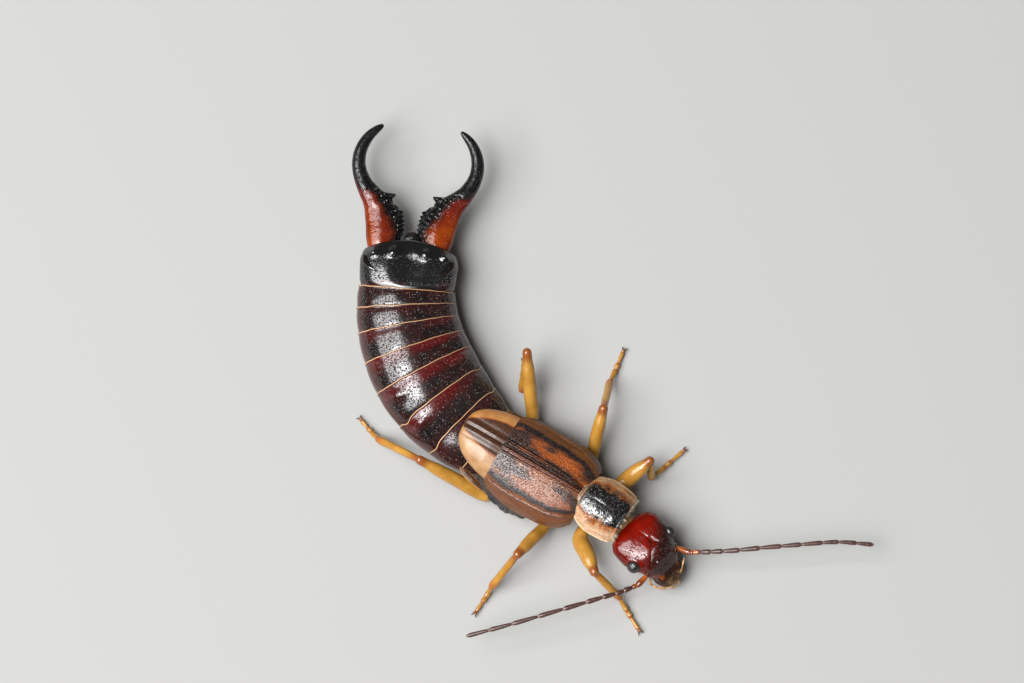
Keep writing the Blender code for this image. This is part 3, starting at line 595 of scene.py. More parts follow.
def forceps_rows(hand, side):
    """Rows round one pincer, first across the flat root, then square to the curved arm."""
    place, rearward, left = midline(RING_EDGES[-1] + FORCEPS_SETBACK)
    root = place + left * side * FORCEPS_ROOT[hand] + Vector((0, 0, FORCEPS_HEIGHT))
    spread = math.radians(FORCEPS_SPREAD[hand])
    outward = left * side * math.cos(spread) - rearward * math.sin(spread)
    back = rearward * math.cos(spread) + left * side * math.sin(spread)
    first, last = FORCEPS_ARM[0][0], FORCEPS_ARM[-1][0]
    centres = []
    for k in range(round((last - first) / ROOT_STEP) + 1):
        behind = min(first + ROOT_STEP * k, last)
        outer, inner, thick = along(FORCEPS_ARM, behind)
        heading = Vector((0.0, 1.0)).lerp(Vector((0.55, 0.84)), min(max((behind - 1.0) / 0.9, 0.0), 1.0))
        centre = Vector((0.5 * (outer + inner), behind))
        centres.append((centre, heading.normalized(), 0.5 * (outer - inner), thick))
    hook = [(n, *row) for n, row in enumerate(FORCEPS_HOOK)]
    for k in range(HOOK_ROWS):
        place_on = (len(hook) - 1) * k / (HOOK_ROWS - 1)
        aside, behind, half_width, thick = along(hook, place_on)
        after, before = along(hook, place_on + 0.1), along(hook, place_on - 0.1)
        heading = Vector((after[0] - before[0], after[1] - before[1])).normalized()
        centres.append((Vector((aside, behind)), heading, half_width, thick))
    rows = []
    length = len(centres) - 1
    for n, (centre, heading, half_width, thick) in enumerate(centres):
        across = Vector((heading[1], -heading[0]))
        blade = min(max((1.75 - centre[1]) / 0.5, 0.0), 1.0)
        rise = FORCEPS_RISE * (n / length) ** 1.5
        row = []
        for k in range(FORCEPS_SIDES):
            turn = math.tau * k / FORCEPS_SIDES
            wide, high = squarish(turn, FORCEPS_SQUARENESS)
            inward = max(-wide, 0.0)
            thin = 1 - 0.45 * blade * inward**1.5
            flat = centre + across * wide * half_width
            for tooth_behind, reach, long in FORCEPS_TEETH:
                flat -= across * reach * inward**3 * hump(flat[1] - tooth_behind, long)
            point = root + outward * flat[0] + back * flat[1]
            row.append(point + Vector((0, 0, rise + high * thick * thin)))
        rows.append(row)
    return rows


def steps_of(tree, value, stops):
    """A value that follows straight lines through (place, value) stops, from -1.5 to 1.5."""
    made = tree.nodes.new("ShaderNodeValToRGB")
    tree.links.new(value, made.inputs[0])
    points = made.color_ramp.elements
    for _ in stops[2:]:
        points.new(0.5)
    for point, (at, level) in zip(points, stops):
        point.position = at
        point.color = (*[(level + 1.5) / 3] * 3, 1.0)
    return calc(tree, "MULTIPLY", calc(tree, "SUBTRACT", made.outputs[0], 0.5), 3.0)


def ragged(tree, place, per_mm, detail, reach, roughness=0.5):
    """Noise about nothing, which moves the edge of a colour to and fro."""
    about_nothing = calc(tree, "SUBTRACT", noise(tree, place, per_mm, detail, roughness), 0.5)
    return calc(tree, "MULTIPLY", about_nothing, reach)


look, tree, shader = new_look("forceps_horn", 0.2, specular=0.45)
place, round_share, share = places(tree)
inward = calc(tree, "MULTIPLY", around(tree, "COSINE", round_share), -1.0)
uneven = ragged(tree, place, 4.0, 3.0, 0.5)
past_edge = calc(tree, "SUBTRACT", calc(tree, "ADD", inward, uneven), steps_of(tree, share, FORCEPS_BLACK))
ember = tint(tree, blotches(tree, place, 1.5), (0.12, 0.011, 0.002), (0.21, 0.031, 0.002))
colour = tint(tree, fade(tree, share, 0.20, 0.48), ember, (0.10, 0.007, 0.003))
colour = tint(tree, fade(tree, past_edge, -0.45, 0.20), colour, (0.0035, 0.003, 0.003))
specks = fade(tree, cells(tree, place, 10.0), 0.06, 0.30)
blade = calc(tree, "MULTIPLY", fade(tree, past_edge, -0.1, 0.2), fade(tree, share, 0.50, 0.44))
ribs = calc(tree, "MULTIPLY", fade(tree, cells(tree, place, 5.5, 0.6), 0.25, 0.60), blade)
normal = dent(tree, specks, 0.018, dent(tree, noise(tree, place, 7.0, 3.0), 0.012, dent(tree, ribs, -0.05)))
arm = fade(tree, share, 0.42, 0.52)
arm_pits = between(tree, arm, 1.0, fade(tree, cells(tree, place, 15.0), 0.10, 0.42))
paint(shader, colour, dent(tree, arm_pits, 0.045, normal), between(tree, arm, 0.14, 0.24))
for hand, side in SIDES:
    pincer = lay(f"pincer_{hand}", capped(forceps_rows(hand, side)))
    fit(pincer, look.copy(), f"forceps_{hand}")


# Pygidium
# The small black plate between the roots of the forceps, with a blunt, upturned end.

PYGIDIUM_START = tipped(RING_EDGES[-1] + LAST_RING - 0.12, 0.0, 1.20)
PYGIDIUM_LENGTH, PYGIDIUM_RISE = 0.42, 0.10
# (share of the length, half width, half thickness)
PYGIDIUM = (
    (0.0, 0.30, 0.34), (0.35, 0.30, 0.32), (0.62, 0.24, 0.25), (0.82, 0.17, 0.17), (0.95, 0.09, 0.10),
    (1.0, 0.01, 0.01),
)
PYGIDIUM_ROWS, PYGIDIUM_SIDES, PYGIDIUM_SQUARENESS = 25, 36, 2.5

_, rearward, left = midline(RING_EDGES[-1])
rows = []
for k in range(PYGIDIUM_ROWS):
    share = k / (PYGIDIUM_ROWS - 1)
    half_width, half_thick = along(PYGIDIUM, share)
    centre = PYGIDIUM_START + rearward * PYGIDIUM_LENGTH * share + Vector((0, 0, PYGIDIUM_RISE * share**2))
    row = []
    for n in range(PYGIDIUM_SIDES):
        wide, high = squarish(math.tau * n / PYGIDIUM_SIDES, PYGIDIUM_SQUARENESS)
        row.append(centre + left * half_width * wide + Vector((0, 0, half_thick * high)))
    rows.append(row)
pygidium = lay("pygidium_plate", capped(rows))
look, tree, shader = new_look("pygidium_horn", 0.18, coat=0.6)
place, _, share = places(tree)
colour = tint(tree, fade(tree, share, 0.6, 1.0), (0.008, 0.007, 0.007), (0.05, 0.02, 0.012))
paint(shader, colour, dent(tree, noise(tree, place, 7.0, 4.0), 0.05))
fit(pygidium, look, "pygidium")


# Thorax under the wings
# Two breastplates of dull brown horn, one behind the other, with softer side plates over the hips. Only
# their edges show from above, grey and bristly beside the wing cases.

# (forwards, half width, top, underside)
THORAX = (
    (0.10, 0.60, 1.50, 0.60),
    (0.35, 0.90, 1.64, 0.50),
    (0.90, 1.02, 1.74, 0.44),
    (1.45, 0.98, 1.78, 0.46),
    (1.75, 0.86, 1.78, 0.54),
    (2.10, 0.98, 1.80, 0.46),
    (2.80, 0.95, 1.78, 0.48),
    (3.25, 0.76, 1.70, 0.56),
    (3.50, 0.55, 1.60, 0.66),
)


def body_rows(stations, count, sides, squareness, point=lambda *spot: spot):
    """Rows round a body whose stations give its half width, top and underside along its length."""
    rows = []
    first, last = stations[0][0], stations[-1][0]
    for k in range(count):
        forwards = first + (last - first) * k / (count - 1)
        half_width, top, bottom = along(stations, forwards)
        middle = 0.5 * (top + bottom)
        row = []
        for n in range(sides):
            turn = math.tau * n / sides
            wide, high = squarish(turn, squareness)
            row.append(point(forwards, half_width * wide, middle + high * 0.5 * (top - bottom)))
        rows.append(row)
    return rows


thorax = lay("breastplates", capped(body_rows(THORAX, 60, 64, 2.7)))
look, tree, shader = new_look("breastplate_horn", 0.5)
place, round_share, _ = places(tree)
colour = tint(tree, blotches(tree, place, 1.6, 4.0), (0.055, 0.035, 0.028), (0.17, 0.085, 0.040))
colour = tint(tree, fade(tree, around(tree, "SINE", round_share), -0.2, -0.8), colour, (0.30, 0.15, 0.06))
waves = dent(tree, noise(tree, place, 3.0, 4.0), 0.06)
paint(shader, colour, dent(tree, noise(tree, place, 22.0, 3.0), 0.012, waves))
fit(thorax, look, "thorax")


chance = random.Random(11)


def sprout(rows, count, length, radius, keep=lambda point, out: True):
    """Picks places on the skin of a laid piece for bristles, which lean towards its last row."""
    found = []
    while len(found) < count:
        k = chance.randrange(2, len(rows) - 3)
        point = Vector(chance.choice(rows[k]))
        centre = middle_of(rows[k])
        onward = middle_of(rows[k + 1]) - centre
        out = (point - centre).normalized()
        if keep(point, out):
            aim = out + onward.normalized() * chance.uniform(0.6, 1.6)
            found.append((point, aim.normalized(), length * chance.uniform(0.7, 1.3), radius))
    return found


def bristles(name, roots, colour):
    """One piece of bent three-sided bristles, each grown from a (root, direction, length, radius)."""
    verts, faces = [], []
    for root, aim, length, radius in roots:
        side, start = aim.orthogonal().normalized(), len(verts)
        corners = [Matrix.Rotation(math.tau * k / 3, 3, aim) @ side * radius for k in range(3)]
        for share, width in ((-0.15, 1.0), (0.55, 0.65)):
            middle = root + aim * length * share - Vector((0, 0, 0.10 * length * share * share))
            verts += [middle + corner * width for corner in corners]
        verts.append(root + aim * length - Vector((0, 0, 0.14 * length)))
        ring, far, tip = [start, start + 1, start + 2], [start + 3, start + 4, start + 5], start + 6
        faces += [(ring[k], ring[k - 2], far[k - 2], far[k]) for k in range(3)]
        faces += [(far[k], far[k - 2], tip) for k in range(3)]
        faces.append(tuple(reversed(ring)))
    mesh = bpy.data.meshes.new(name)
    mesh.from_pydata([tuple((Vector(v) - FRAME_ZERO) * MM) for v in verts], [], faces)
    piece = bpy.data.objects.new(name, mesh)
    bpy.context.collection.objects.link(piece)
    # Each bristle's seven faces have a small patch of their own in the map
    patches = math.ceil(math.sqrt(len(faces)))
    flat = mesh.uv_layers.new(name="OFBake")
    for face in mesh.polygons:
        left, low = face.index % patches, face.index // patches
        for corner, (x, y) in zip(face.loop_indices, ((0.1, 0.1), (0.9, 0.1), (0.9, 0.9), (0.1, 0.9))):
            flat.data[corner].uv = ((left + x) / patches, (low + y) / patches)
        face.use_smooth = True
    look, tree, shader = new_look(name + "_look", 0.35, specular=0.6)
    place = tree.nodes.new("ShaderNodeTexCoord").outputs["Object"]
    darker = tuple(0.6 * part for part in colour)
    paint(shader, tint(tree, noise(tree, place, 3.0), darker, colour))
    fit(piece, look)


def sided(points, side, inset=0.0):
    """Points of (forwards, aside, height) on one side of the animal."""
    return [(forwards, side * (aside - inset), height) for forwards, aside, height in points]


# The bristly side plates over the hind hips: (forwards, aside, height)
SIDE_PLATE = (
    (0.15, 1.12, 1.00), (0.67, 1.36, 1.00), (1.26, 1.50, 1.00), (1.75, 1.48, 1.02), (2.10, 1.25, 1.08),
)
SIDE_PLATE_SIZES = ((0.0, 0.34, 0.22), (0.5, 0.38, 0.28), (1.0, 0.34, 0.24))
SIDE_PLATE_INSET = {"left": 0.22, "right": 0.07}


def plate_folds(share):
    """Coarse folds with finer ones over them."""
    return 0.030 * math.sin(23 * share) + 0.014 * math.sin(61 * share)


plate_look, tree, shader = new_look("side_plate_horn", 0.45, specular=0.5)
place, _, _ = places(tree)
colour = tint(tree, blotches(tree, place, 3.0, 4.0), (0.012, 0.011, 0.013), (0.050, 0.040, 0.036))
paint(shader, colour, dent(tree, noise(tree, place, 6.0, 5.0, 0.65), 0.16))
plate_hairs = []
for hand, side in SIDES:
    route = sided(SIDE_PLATE, side, SIDE_PLATE_INSET[hand])
    rows = limb(
        f"side_plate_{hand}", plate_look.copy(), "thorax", route, SIDE_PLATE_SIZES, 60, 36, fold=plate_folds,
    )
    plate_hairs += sprout(rows, 260, 0.11, 0.004, lambda point, out: out.z > -0.2 and abs(out.y) > 0.3)
bristles("side_plate_bristles", plate_hairs, (0.50, 0.44, 0.36))

# The pale-edged lobe behind each side plate: (forwards, aside, height)
LOBE = ((-0.78, 1.16, 1.12), (-0.60, 1.30, 1.14), (-0.30, 1.40, 1.14), (0.02, 1.46, 1.10), (0.24, 1.50, 1.04))
LOBE_SIZES = ((0.0, 0.08, 0.05), (0.5, 0.13, 0.06), (1.0, 0.10, 0.05))
LOBE_INSET = {"left": 0.15, "right": 0.0}
lobe_look, tree, shader = new_look("side_lobe_horn", 0.35, specular=0.3)
place, round_share, _ = places(tree)
outside = fade(tree, calc(tree, "ABSOLUTE", around(tree, "COSINE", round_share)), 0.75, 0.92)
brown = tint(tree, blotches(tree, place, 5.0, 3.0, 0.3, 0.7), (0.030, 0.012, 0.007), (0.10, 0.036, 0.010))
paint(shader, tint(tree, outside, brown, (0.50, 0.25, 0.09)), dent(tree, noise(tree, place, 9.0, 3.0), 0.02))
for hand, side in SIDES:
    route = sided(LOBE, side, LOBE_INSET[hand])
    limb(f"side_lobe_{hand}", lobe_look.copy(), "thorax", route, LOBE_SIZES, 40, 28)


# Wing cases
# Two short covers of tough leather that meet along the back. Each has a pair of raised veins beside the
# seam, a flat disc, a keel, and beyond it a thin amber flange that hugs the side and ends in a pale rim.

WING_SEAM = 0.006
WING_CASE_THICKNESS = 0.06
# (forwards, half width, crest, lower edge)
WING_CASE = (
    (0.25, 1.32, 2.42, 1.56),
    (0.60, 1.50, 2.46, 1.34),
    (1.60, 1.64, 2.52, 1.20),
    (2.60, 1.60, 2.51, 1.22),
    (3.12, 1.47, 2.46, 1.28),
    (3.42, 1.32, 2.37, 1.36),
    (3.66, 1.06, 2.24, 1.50),
)
# (forwards, place of the keel from the seam, at 0, to the lower edge, at 1)
KEEL = ((0.25, 0.70), (0.7, 0.63), (1.6, 0.58), (2.8, 0.56), (3.66, 0.52))
CASE_COLUMNS, CASE_ROWS = 120, 120
SEAM_CROWDING = 1.8
CASE_SQUARENESS = 2.6
# How high the pair of veins beside the seam stands
VEIN_STAND = {"left": 0.10, "right": 0.060}


def case_point(forwards, share, hand, side):
    """A point of a wing case, where share goes from the seam, at 0, to the lower edge, at 1."""
    half_width, crest, edge = along(WING_CASE, forwards)
    keel = along(KEEL, forwards)[0]
    turn = math.radians(90 * share)
    high, wide = squarish(turn, CASE_SQUARENESS)
    ends = hump(max(forwards - 3.2, 0.0), 0.4) * hump(max(0.6 - forwards, 0.0), 0.5)
    swell = (0.040 * hump(share - keel, 0.022) - 0.030 * hump(share - keel - 0.12, 0.09)) * ends
    swell += 0.030 * hump(share - 0.97, 0.03)
    aside = WING_SEAM + (half_width - WING_SEAM) * wide
    height = edge + (crest - edge) * high
    second = 0.13 + 0.09 * max(0.0, 1 - (forwards / 3.6) ** 2)
    veins = VEIN_STAND[hand] * (hump(aside - 0.055, 0.036) + hump(aside - second, 0.042))
    veins *= hump(max(forwards - 3.3, 0.0), 0.25)
    height += swell * math.cos(turn) + veins
    return Vector((forwards, side * (aside + swell * math.sin(turn)), height))


def thicken(sheet, thickness):
    """Gives the sheet just made a wall, inwards from its outer face."""
    bpy.ops.object.modifier_add(type="SOLIDIFY")
    sheet.modifiers[0].thickness = thickness * MM
    sheet.modifiers[0].offset = -1.0
    bpy.ops.object.modifier_apply(modifier=sheet.modifiers[0].name)


def crowded_ends(stations, steps):
    """Places along the stations, closer together towards both ends."""
    first, last = stations[0][0], stations[-1][0]
    return [first + (last - first) * (0.5 - 0.5 * math.cos(math.pi * k / steps)) for k in range(steps + 1)]


def stretched(tree, place, along_it, across_it):
    """The place drawn out, so that a pattern on it runs lengthwise."""
    return add(tree, "Mapping", place, None, None, (along_it, across_it, 1.0))


# Two colours of the dark disc, and two of its chestnut clouds
WING_COLOURS = {
    "left": ((0.010, 0.005, 0.004), (0.040, 0.015, 0.008), (0.14, 0.026, 0.004), (0.36, 0.082, 0.009)),
    "right": ((0.014, 0.008, 0.007), (0.065, 0.030, 0.020), (0.13, 0.040, 0.016), (0.30, 0.105, 0.045)),
}
FLANGE_COLOURS = {
    "left": ((0.085, 0.026, 0.004), (0.17, 0.058, 0.009)),
    "right": ((0.10, 0.022, 0.001), (0.19, 0.052, 0.002)),
}
SEAM_COLOURS = {"left": (0.03, 0.010, 0.005), "right": (0.09, 0.020, 0.006)}
REAR_COLOURS = {"left": (0.03, 0.015, 0.010), "right": (0.10, 0.07, 0.06)}
# Where, from the seam, the disc turns black and then clear brown
DISC_EDGES = {"left": (0.25, 0.33), "right": (0.33, 0.41)}


def wing_look(name, hand):
    """Leather: a dark brown disc with chestnut clouds under fine grains, and an amber flange."""
    look, tree, shader = new_look(name, 0.34, specular=0.45 if hand == "left" else 0.75)
    place, share, along_share = places(tree)
    grain = noise(tree, stretched(tree, place, 0.5, 1.0), 24.0, 4.0, 0.6)
    grained = fade(tree, grain, 0.35, 0.65)
    clouds = blotches(tree, stretched(tree, place, 0.5, 1.2), 1.2, 3.0, 0.42, 0.58)
    dark_a, dark_b, warm_a, warm_b = WING_COLOURS[hand]
    dark = tint(tree, grained, dark_a, dark_b)
    colour = tint(tree, clouds, dark, tint(tree, grained, warm_a, warm_b))
    across = calc(tree, "ADD", share, ragged(tree, place, 2.0, 3.0, 0.10))
    streaks = noise(tree, stretched(tree, place, 0.10, 1.0), 12.0, 3.0)
    flange = tint(tree, fade(tree, streaks, 0.3, 0.8), *FLANGE_COLOURS[hand])
    # Towards the keel the disc is black, then clear brown again
    black_edge, brown_edge = DISC_EDGES[hand]
    colour = tint(tree, fade(tree, across, black_edge - 0.03, black_edge + 0.03), colour, dark_a)
    colour = tint(tree, fade(tree, across, brown_edge - 0.02, brown_edge + 0.04), colour, flange)
    # The keel is a brown line, and the lower edge is pale
    colour = tint(tree, fade(tree, share, 0.485, 0.50), colour, (0.10, 0.030, 0.008))
    colour = tint(tree, fade(tree, share, 0.515, 0.53), colour, flange)
    colour = tint(tree, fade(tree, share, 0.955, 0.98), colour, (0.72, 0.50, 0.22))
    colour = tint(tree, fade(tree, share, 0.034, 0.018), colour, SEAM_COLOURS[hand])
    inner_rear = calc(tree, "MULTIPLY", fade(tree, along_share, 0.13, 0.06), fade(tree, share, 0.45, 0.30))
    colour = tint(tree, inner_rear, colour, REAR_COLOURS[hand])
    grains = fade(tree, cells(tree, place, 18.0), 0.15, 0.50)
    normal = dent(tree, grains, 0.012, dent(tree, grain, 0.014))
    paint(shader, colour, normal, between(tree, fade(tree, share, 0.10, 0.16), 0.12, 0.36))
    return look


crowded = [(n / CASE_COLUMNS) ** SEAM_CROWDING for n in range(CASE_COLUMNS + 1)]
forwards_of = crowded_ends(WING_CASE, CASE_ROWS)
for hand, side in SIDES:
    rows = [[case_point(forwards, share, hand, side) for share in crowded] for forwards in forwards_of]
    case = lay(f"wing_cover_{hand}", rows, closed=False)
    # Across, the map runs from the seam at 0 by the keel at a half to the lower edge at 1
    for corner in case.data.uv_layers[0].data:
        keel = along(KEEL, forwards_of[round(corner.uv.y * CASE_ROWS)])[0]
        share = crowded[round(corner.uv.x * CASE_COLUMNS)]
        corner.uv.x = 0.5 * share / keel if share < keel else 0.5 + 0.5 * (share - keel) / (1 - keel)
    thicken(case, WING_CASE_THICKNESS)
    fit(case, wing_look(f"wing_cover_{hand}_leather", hand), f"wing_case_{hand}")


# Wing tips
# The folded hind wings show behind the covers as two leathery scales, with a cream patch outside and a
# dark stripe along the seam.

WING_TIP_THICKNESS = 0.05
# (forwards, half width, crest, lower edge)
WING_TIP = (
    (-1.33, 0.30, 2.29, 2.14),
    (-1.28, 0.50, 2.32, 2.08),
    (-1.16, 0.69, 2.36, 2.00),
    (-0.88, 0.93, 2.40, 1.90),
    (-0.42, 1.13, 2.41, 1.78),
    (0.00, 1.24, 2.40, 1.70),
    (0.45, 1.30, 2.38, 1.62),
)
TIP_COLUMNS, TIP_ROWS = 90, 60
TIP_SQUARENESS = 2.4


def tip_point(forwards, share, side):
    """A point of a wing tip, where share goes from the seam, at 0, to the outer edge, at 1."""
    half_width, crest, edge = along(WING_TIP, forwards)
    high, wide = squarish(math.radians(90 * share), TIP_SQUARENESS)
    aside = WING_SEAM + (half_width - WING_SEAM) * wide
    height = edge + (crest - edge) * high
    height += 0.05 * hump(aside - 0.14, 0.09) - 0.02 * hump(aside - 0.34, 0.08)
    # The front dips to lie under the cover
    sunk = 0.05 * min(max((forwards + 0.1) / 0.5, 0.0), 1.0)
    return Vector((forwards, side * aside, height - sunk))


def tip_look(name, patch_edge, slant, cream_a, cream_b):
    """Leather, dark beside the seam, and cream in the patch beyond the edge."""
    look, tree, shader = new_look(name, 0.34, specular=0.6)
    place, share, along_share = places(tree)
    grain = noise(tree, place, 20.0, 3.0)
    cream = tint(tree, blotches(tree, place, 3.0, 3.0, 0.3, 0.7), cream_a, cream_b)
    dark = tint(tree, fade(tree, grain, 0.3, 0.7), (0.022, 0.010, 0.007), (0.10, 0.036, 0.016))
    across = calc(tree, "SUBTRACT", share, calc(tree, "MULTIPLY", along_share, slant))
    across = calc(tree, "ADD", across, ragged(tree, place, 2.0, 2.0, 0.10))
    colour = tint(tree, fade(tree, across, patch_edge - 0.04, patch_edge), dark, (0.26, 0.075, 0.015))
    colour = tint(tree, fade(tree, across, patch_edge, patch_edge + 0.03), colour, cream)
    rims_and_painted_glints = calc(tree, "MAXIMUM", fade(tree, share, 0.94, 0.985), fade(tree, along_share, 0.05, 0.015))
    paint(shader, tint(tree, rims_and_painted_glints, colour, (0.16, 0.07, 0.03)), dent(tree, grain, 0.008))
    return look


# (place of the patch's inner edge, how far it moves out towards the front, two colours of the patch)
TIP_PATCHES = {
    "left": (0.23, 0.17, (0.34, 0.135, 0.035), (0.45, 0.21, 0.068)),
    "right": (0.13, 0.10, (0.30, 0.150, 0.055), (0.40, 0.225, 0.100)),
}
for hand, side in SIDES:
    rows = []
    for k in range(TIP_ROWS + 1):
        forwards = WING_TIP[0][0] + (WING_TIP[-1][0] - WING_TIP[0][0]) * (k / TIP_ROWS) ** 1.5
        rows.append([tip_point(forwards, n / TIP_COLUMNS, side) for n in range(TIP_COLUMNS + 1)])
    scale = lay(f"wing_scale_{hand}", rows, closed=False)
    thicken(scale, WING_TIP_THICKNESS)
    fit(scale, tip_look(f"wing_scale_{hand}_leather", *TIP_PATCHES[hand]), f"wing_tip_{hand}")


# Prothorax
# A nearly square shield, black and finely pitted in the middle, with broad clear amber side margins and a
# raised pale rim. Under it hangs the soft block that carries the neck and the front legs.

SHIELD_CENTRE = (4.40, -0.03)
SHIELD_TURN = -1.0
SHIELD_THICKNESS = 0.10
# (forwards from the centre, half width, crest, edge)
SHIELD = (
    (-0.96, 0.44, 2.37, 2.12),
    (-0.84, 0.72, 2.41, 2.00),
    (-0.60, 0.93, 2.45, 1.92),
    (-0.10, 1.06, 2.50, 1.86),
    (0.40, 1.04, 2.49, 1.82),
    (0.72, 0.97, 2.42, 1.80),
    (0.83, 0.88, 2.37, 1.80),
)
SHIELD_STEPS = 90


def shield_frame(forwards, left, height):
    """A point that is given from the shield's middle, which is turned a little."""
    place = Matrix.Rotation(math.radians(SHIELD_TURN), 3, "Z") @ Vector((forwards, left, 0))
    return place + Vector((*SHIELD_CENTRE, height))


def shield_point(forwards, across):
    """A point of the shield, where across goes from -1 at the right margin to 1 at the left one."""
    half_width, crest, edge = along(SHIELD, forwards)
    height = edge + (1 - abs(across) ** 2.8) * (crest - edge)
    rear_end, front_end = SHIELD[0][0], SHIELD[-1][0]
    to_edge = min((1 - abs(across)) * half_width, forwards - rear_end, front_end - forwards)
    height += 0.035 * hump(to_edge - 0.02, 0.03) - 0.03 * hump(to_edge - 0.10, 0.05)
    height -= 0.012 * hump(across * half_width, 0.05) * hump(forwards, 0.45)
    height -= 0.02 * hump(forwards - 0.35, 0.18) * hump(abs(across) - 0.32, 0.14)
    margin = min(max((abs(across) - 0.66) / 0.34, 0.0), 1.0)
    return shield_frame(forwards, across * half_width, height + 0.06 * math.sin(math.pi * margin) * margin)


columns = [-math.cos(math.pi * n / SHIELD_STEPS) for n in range(SHIELD_STEPS + 1)]
rows = []
for forwards in crowded_ends(SHIELD, SHIELD_STEPS):
    rows.append([shield_point(forwards, across) for across in columns])
shield = lay("shield", rows, closed=False)
thicken(shield, SHIELD_THICKNESS)
look, tree, shader = new_look("shield_horn", 0.2, specular=1.0, soft=0.15)
place, across, share = places(tree)
# The grid's columns crowd towards the margins, so this turns their share back into a width
leftness = calc(tree, "MULTIPLY", calc(tree, "COSINE", calc(tree, "MULTIPLY", across, math.pi)), -1.0)
wide = calc(tree, "ABSOLUTE", leftness)
uneven = ragged(tree, place, 3.0, 5.0, 0.80, roughness=0.6)
streaks = blotches(tree, stretched(tree, place, 0.3, 1.0), 12.0, 3.0, 0.35, 0.7)
# The margins are clear amber; the right one is painted paler and pinker as painted sheen, the left one stays
# darker yellow amber
amber = tint(tree, streaks, (0.46, 0.26, 0.13), (0.62, 0.41, 0.27))
yellow = tint(tree, streaks, (0.34, 0.16, 0.045), (0.50, 0.29, 0.12))
amber = tint(tree, fade(tree, leftness, -0.2, 0.2), amber, yellow)
black = (0.005, 0.004, 0.004)
from_middle = calc(tree, "ADD", wide, calc(tree, "ADD", uneven, calc(tree, "MULTIPLY", leftness, -0.05)))
colour = tint(tree, fade(tree, from_middle, 0.44, 0.64), black, (0.28, 0.080, 0.012))
colour = tint(tree, fade(tree, from_middle, 0.62, 0.86), colour, amber)
colour = tint(tree, fade(tree, wide, 0.955, 0.985), colour, (0.80, 0.58, 0.34))
rear_rim = fade(tree, calc(tree, "ADD", share, calc(tree, "MULTIPLY", uneven, 0.3)), 0.26, 0.06)
colour = tint(tree, calc(tree, "MULTIPLY", rear_rim, 0.9), colour, (0.40, 0.24, 0.13))
pits = fade(tree, cells(tree, place, 14.0), 0.12, 0.42)
# Painted shade: each pit is painted darker, as shade falls in it
colour = tint(tree, pits, tint(tree, 0.45, colour, black), colour)
normal = dent(tree, pits, 0.018, dent(tree, noise(tree, place, 4.0, 4.0), 0.03))
paint(shader, colour, normal, between(tree, pits, 0.45, 0.18))
fit(shield, look, "prothorax")

# (forwards, half width, top, underside) of the soft block
BLOCK = (
    (-0.86, 0.40, 1.80, 0.80), (-0.70, 0.54, 2.00, 0.62), (-0.45, 0.66, 2.12, 0.52), (0.05, 0.68, 2.16, 0.55),
    (0.40, 0.66, 2.16, 0.74), (0.62, 0.58, 2.10, 0.95), (0.74, 0.42, 1.95, 1.15),
)
block = lay("breast", capped(body_rows(BLOCK, 44, 48, 2.4, shield_frame)))
look, tree, shader = new_look("breast_skin", 0.5)
place, _, _ = places(tree)
colour = tint(tree, blotches(tree, place, 2.0, 4.0), (0.30, 0.13, 0.045), (0.44, 0.23, 0.09))
paint(shader, colour, dent(tree, noise(tree, place, 9.0, 4.0), 0.04))
fit(block, look)


# Longer bristles fan out from the front edge, and short ones from the rear edge
fringe = []
for _ in range(70):
    across = chance.uniform(-0.95, 0.95)
    aim = shield_frame(1, across * 0.5, 0.25) - shield_frame(0, 0, 0)
    root = shield_point(SHIELD[-1][0] - 0.02, across) - Vector((0, 0, 0.05))
    fringe.append((root, aim.normalized(), chance.uniform(0.14, 0.28), 0.005))
for _ in range(60):
    across = math.sin(math.pi * chance.uniform(-0.5, 0.5))
    aim = shield_frame(-1, across * 0.6, 0.35) - shield_frame(0, 0, 0)
    root = shield_point(SHIELD[0][0] + 0.03, across)
    fringe.append((root, aim.normalized(), chance.uniform(0.05, 0.10), 0.004))
bristles("shield_bristles", fringe, (0.70, 0.56, 0.38))


# Neck
# Soft tan skin in fine folds between the shield and the head, bristly on top.

HEAD_CENTRE = (6.462, -0.372, 1.3)
HEAD_TURN, HEAD_NOD, HEAD_LEAN = -13.7, 9.0, -6.5


def head_frame(forwards, left, up):
    """A point that is given from the head's middle, along the head's own turned and tipped axes."""
    yaw = Matrix.Rotation(math.radians(HEAD_TURN), 3, "Z")
    lean = Matrix.Rotation(math.radians(HEAD_LEAN), 3, "X")
    nod = Matrix.Rotation(math.radians(HEAD_NOD), 3, "Y")
    return Vector(HEAD_CENTRE) + yaw @ lean @ nod @ Vector((forwards, left, up))


NECK_SIZES = ((0.0, 0.50, 0.40), (0.5, 0.44, 0.38), (1.0, 0.50, 0.36))
NECK_FOLD, NECK_FOLDS = 0.014, 40
neck_start, neck_end = shield_frame(0.20, 0, 1.30), head_frame(-0.85, 0, -0.10)
route = (neck_start, neck_start.lerp(neck_end, 0.5), neck_end)
look, tree, shader = new_look("neck_skin", 0.45)
place, _, _ = places(tree)
colour = tint(tree, blotches(tree, place, 3.0, 3.0), (0.22, 0.075, 0.024), (0.38, 0.17, 0.07))
paint(shader, colour, dent(tree, noise(tree, place, 14.0, 4.0), 0.03))
rows = limb(
    "neck_skin", look, "neck", route, NECK_SIZES, 50, 48, "neck",
    fold=lambda share: NECK_FOLD * math.sin(share * NECK_FOLDS),
)
neck_hairs = sprout(rows, 90, 0.14, 0.005, lambda point, out: out.z > 0.0)
bristles("neck_bristles", neck_hairs, (0.70, 0.56, 0.38))


# Head
# One polished, heart-shaped capsule of deep red horn, darker over the face, with a Y-shaped groove on its
# crown, a hollow in the forehead, a rim round each eye and a raised collar round each feeler's socket.

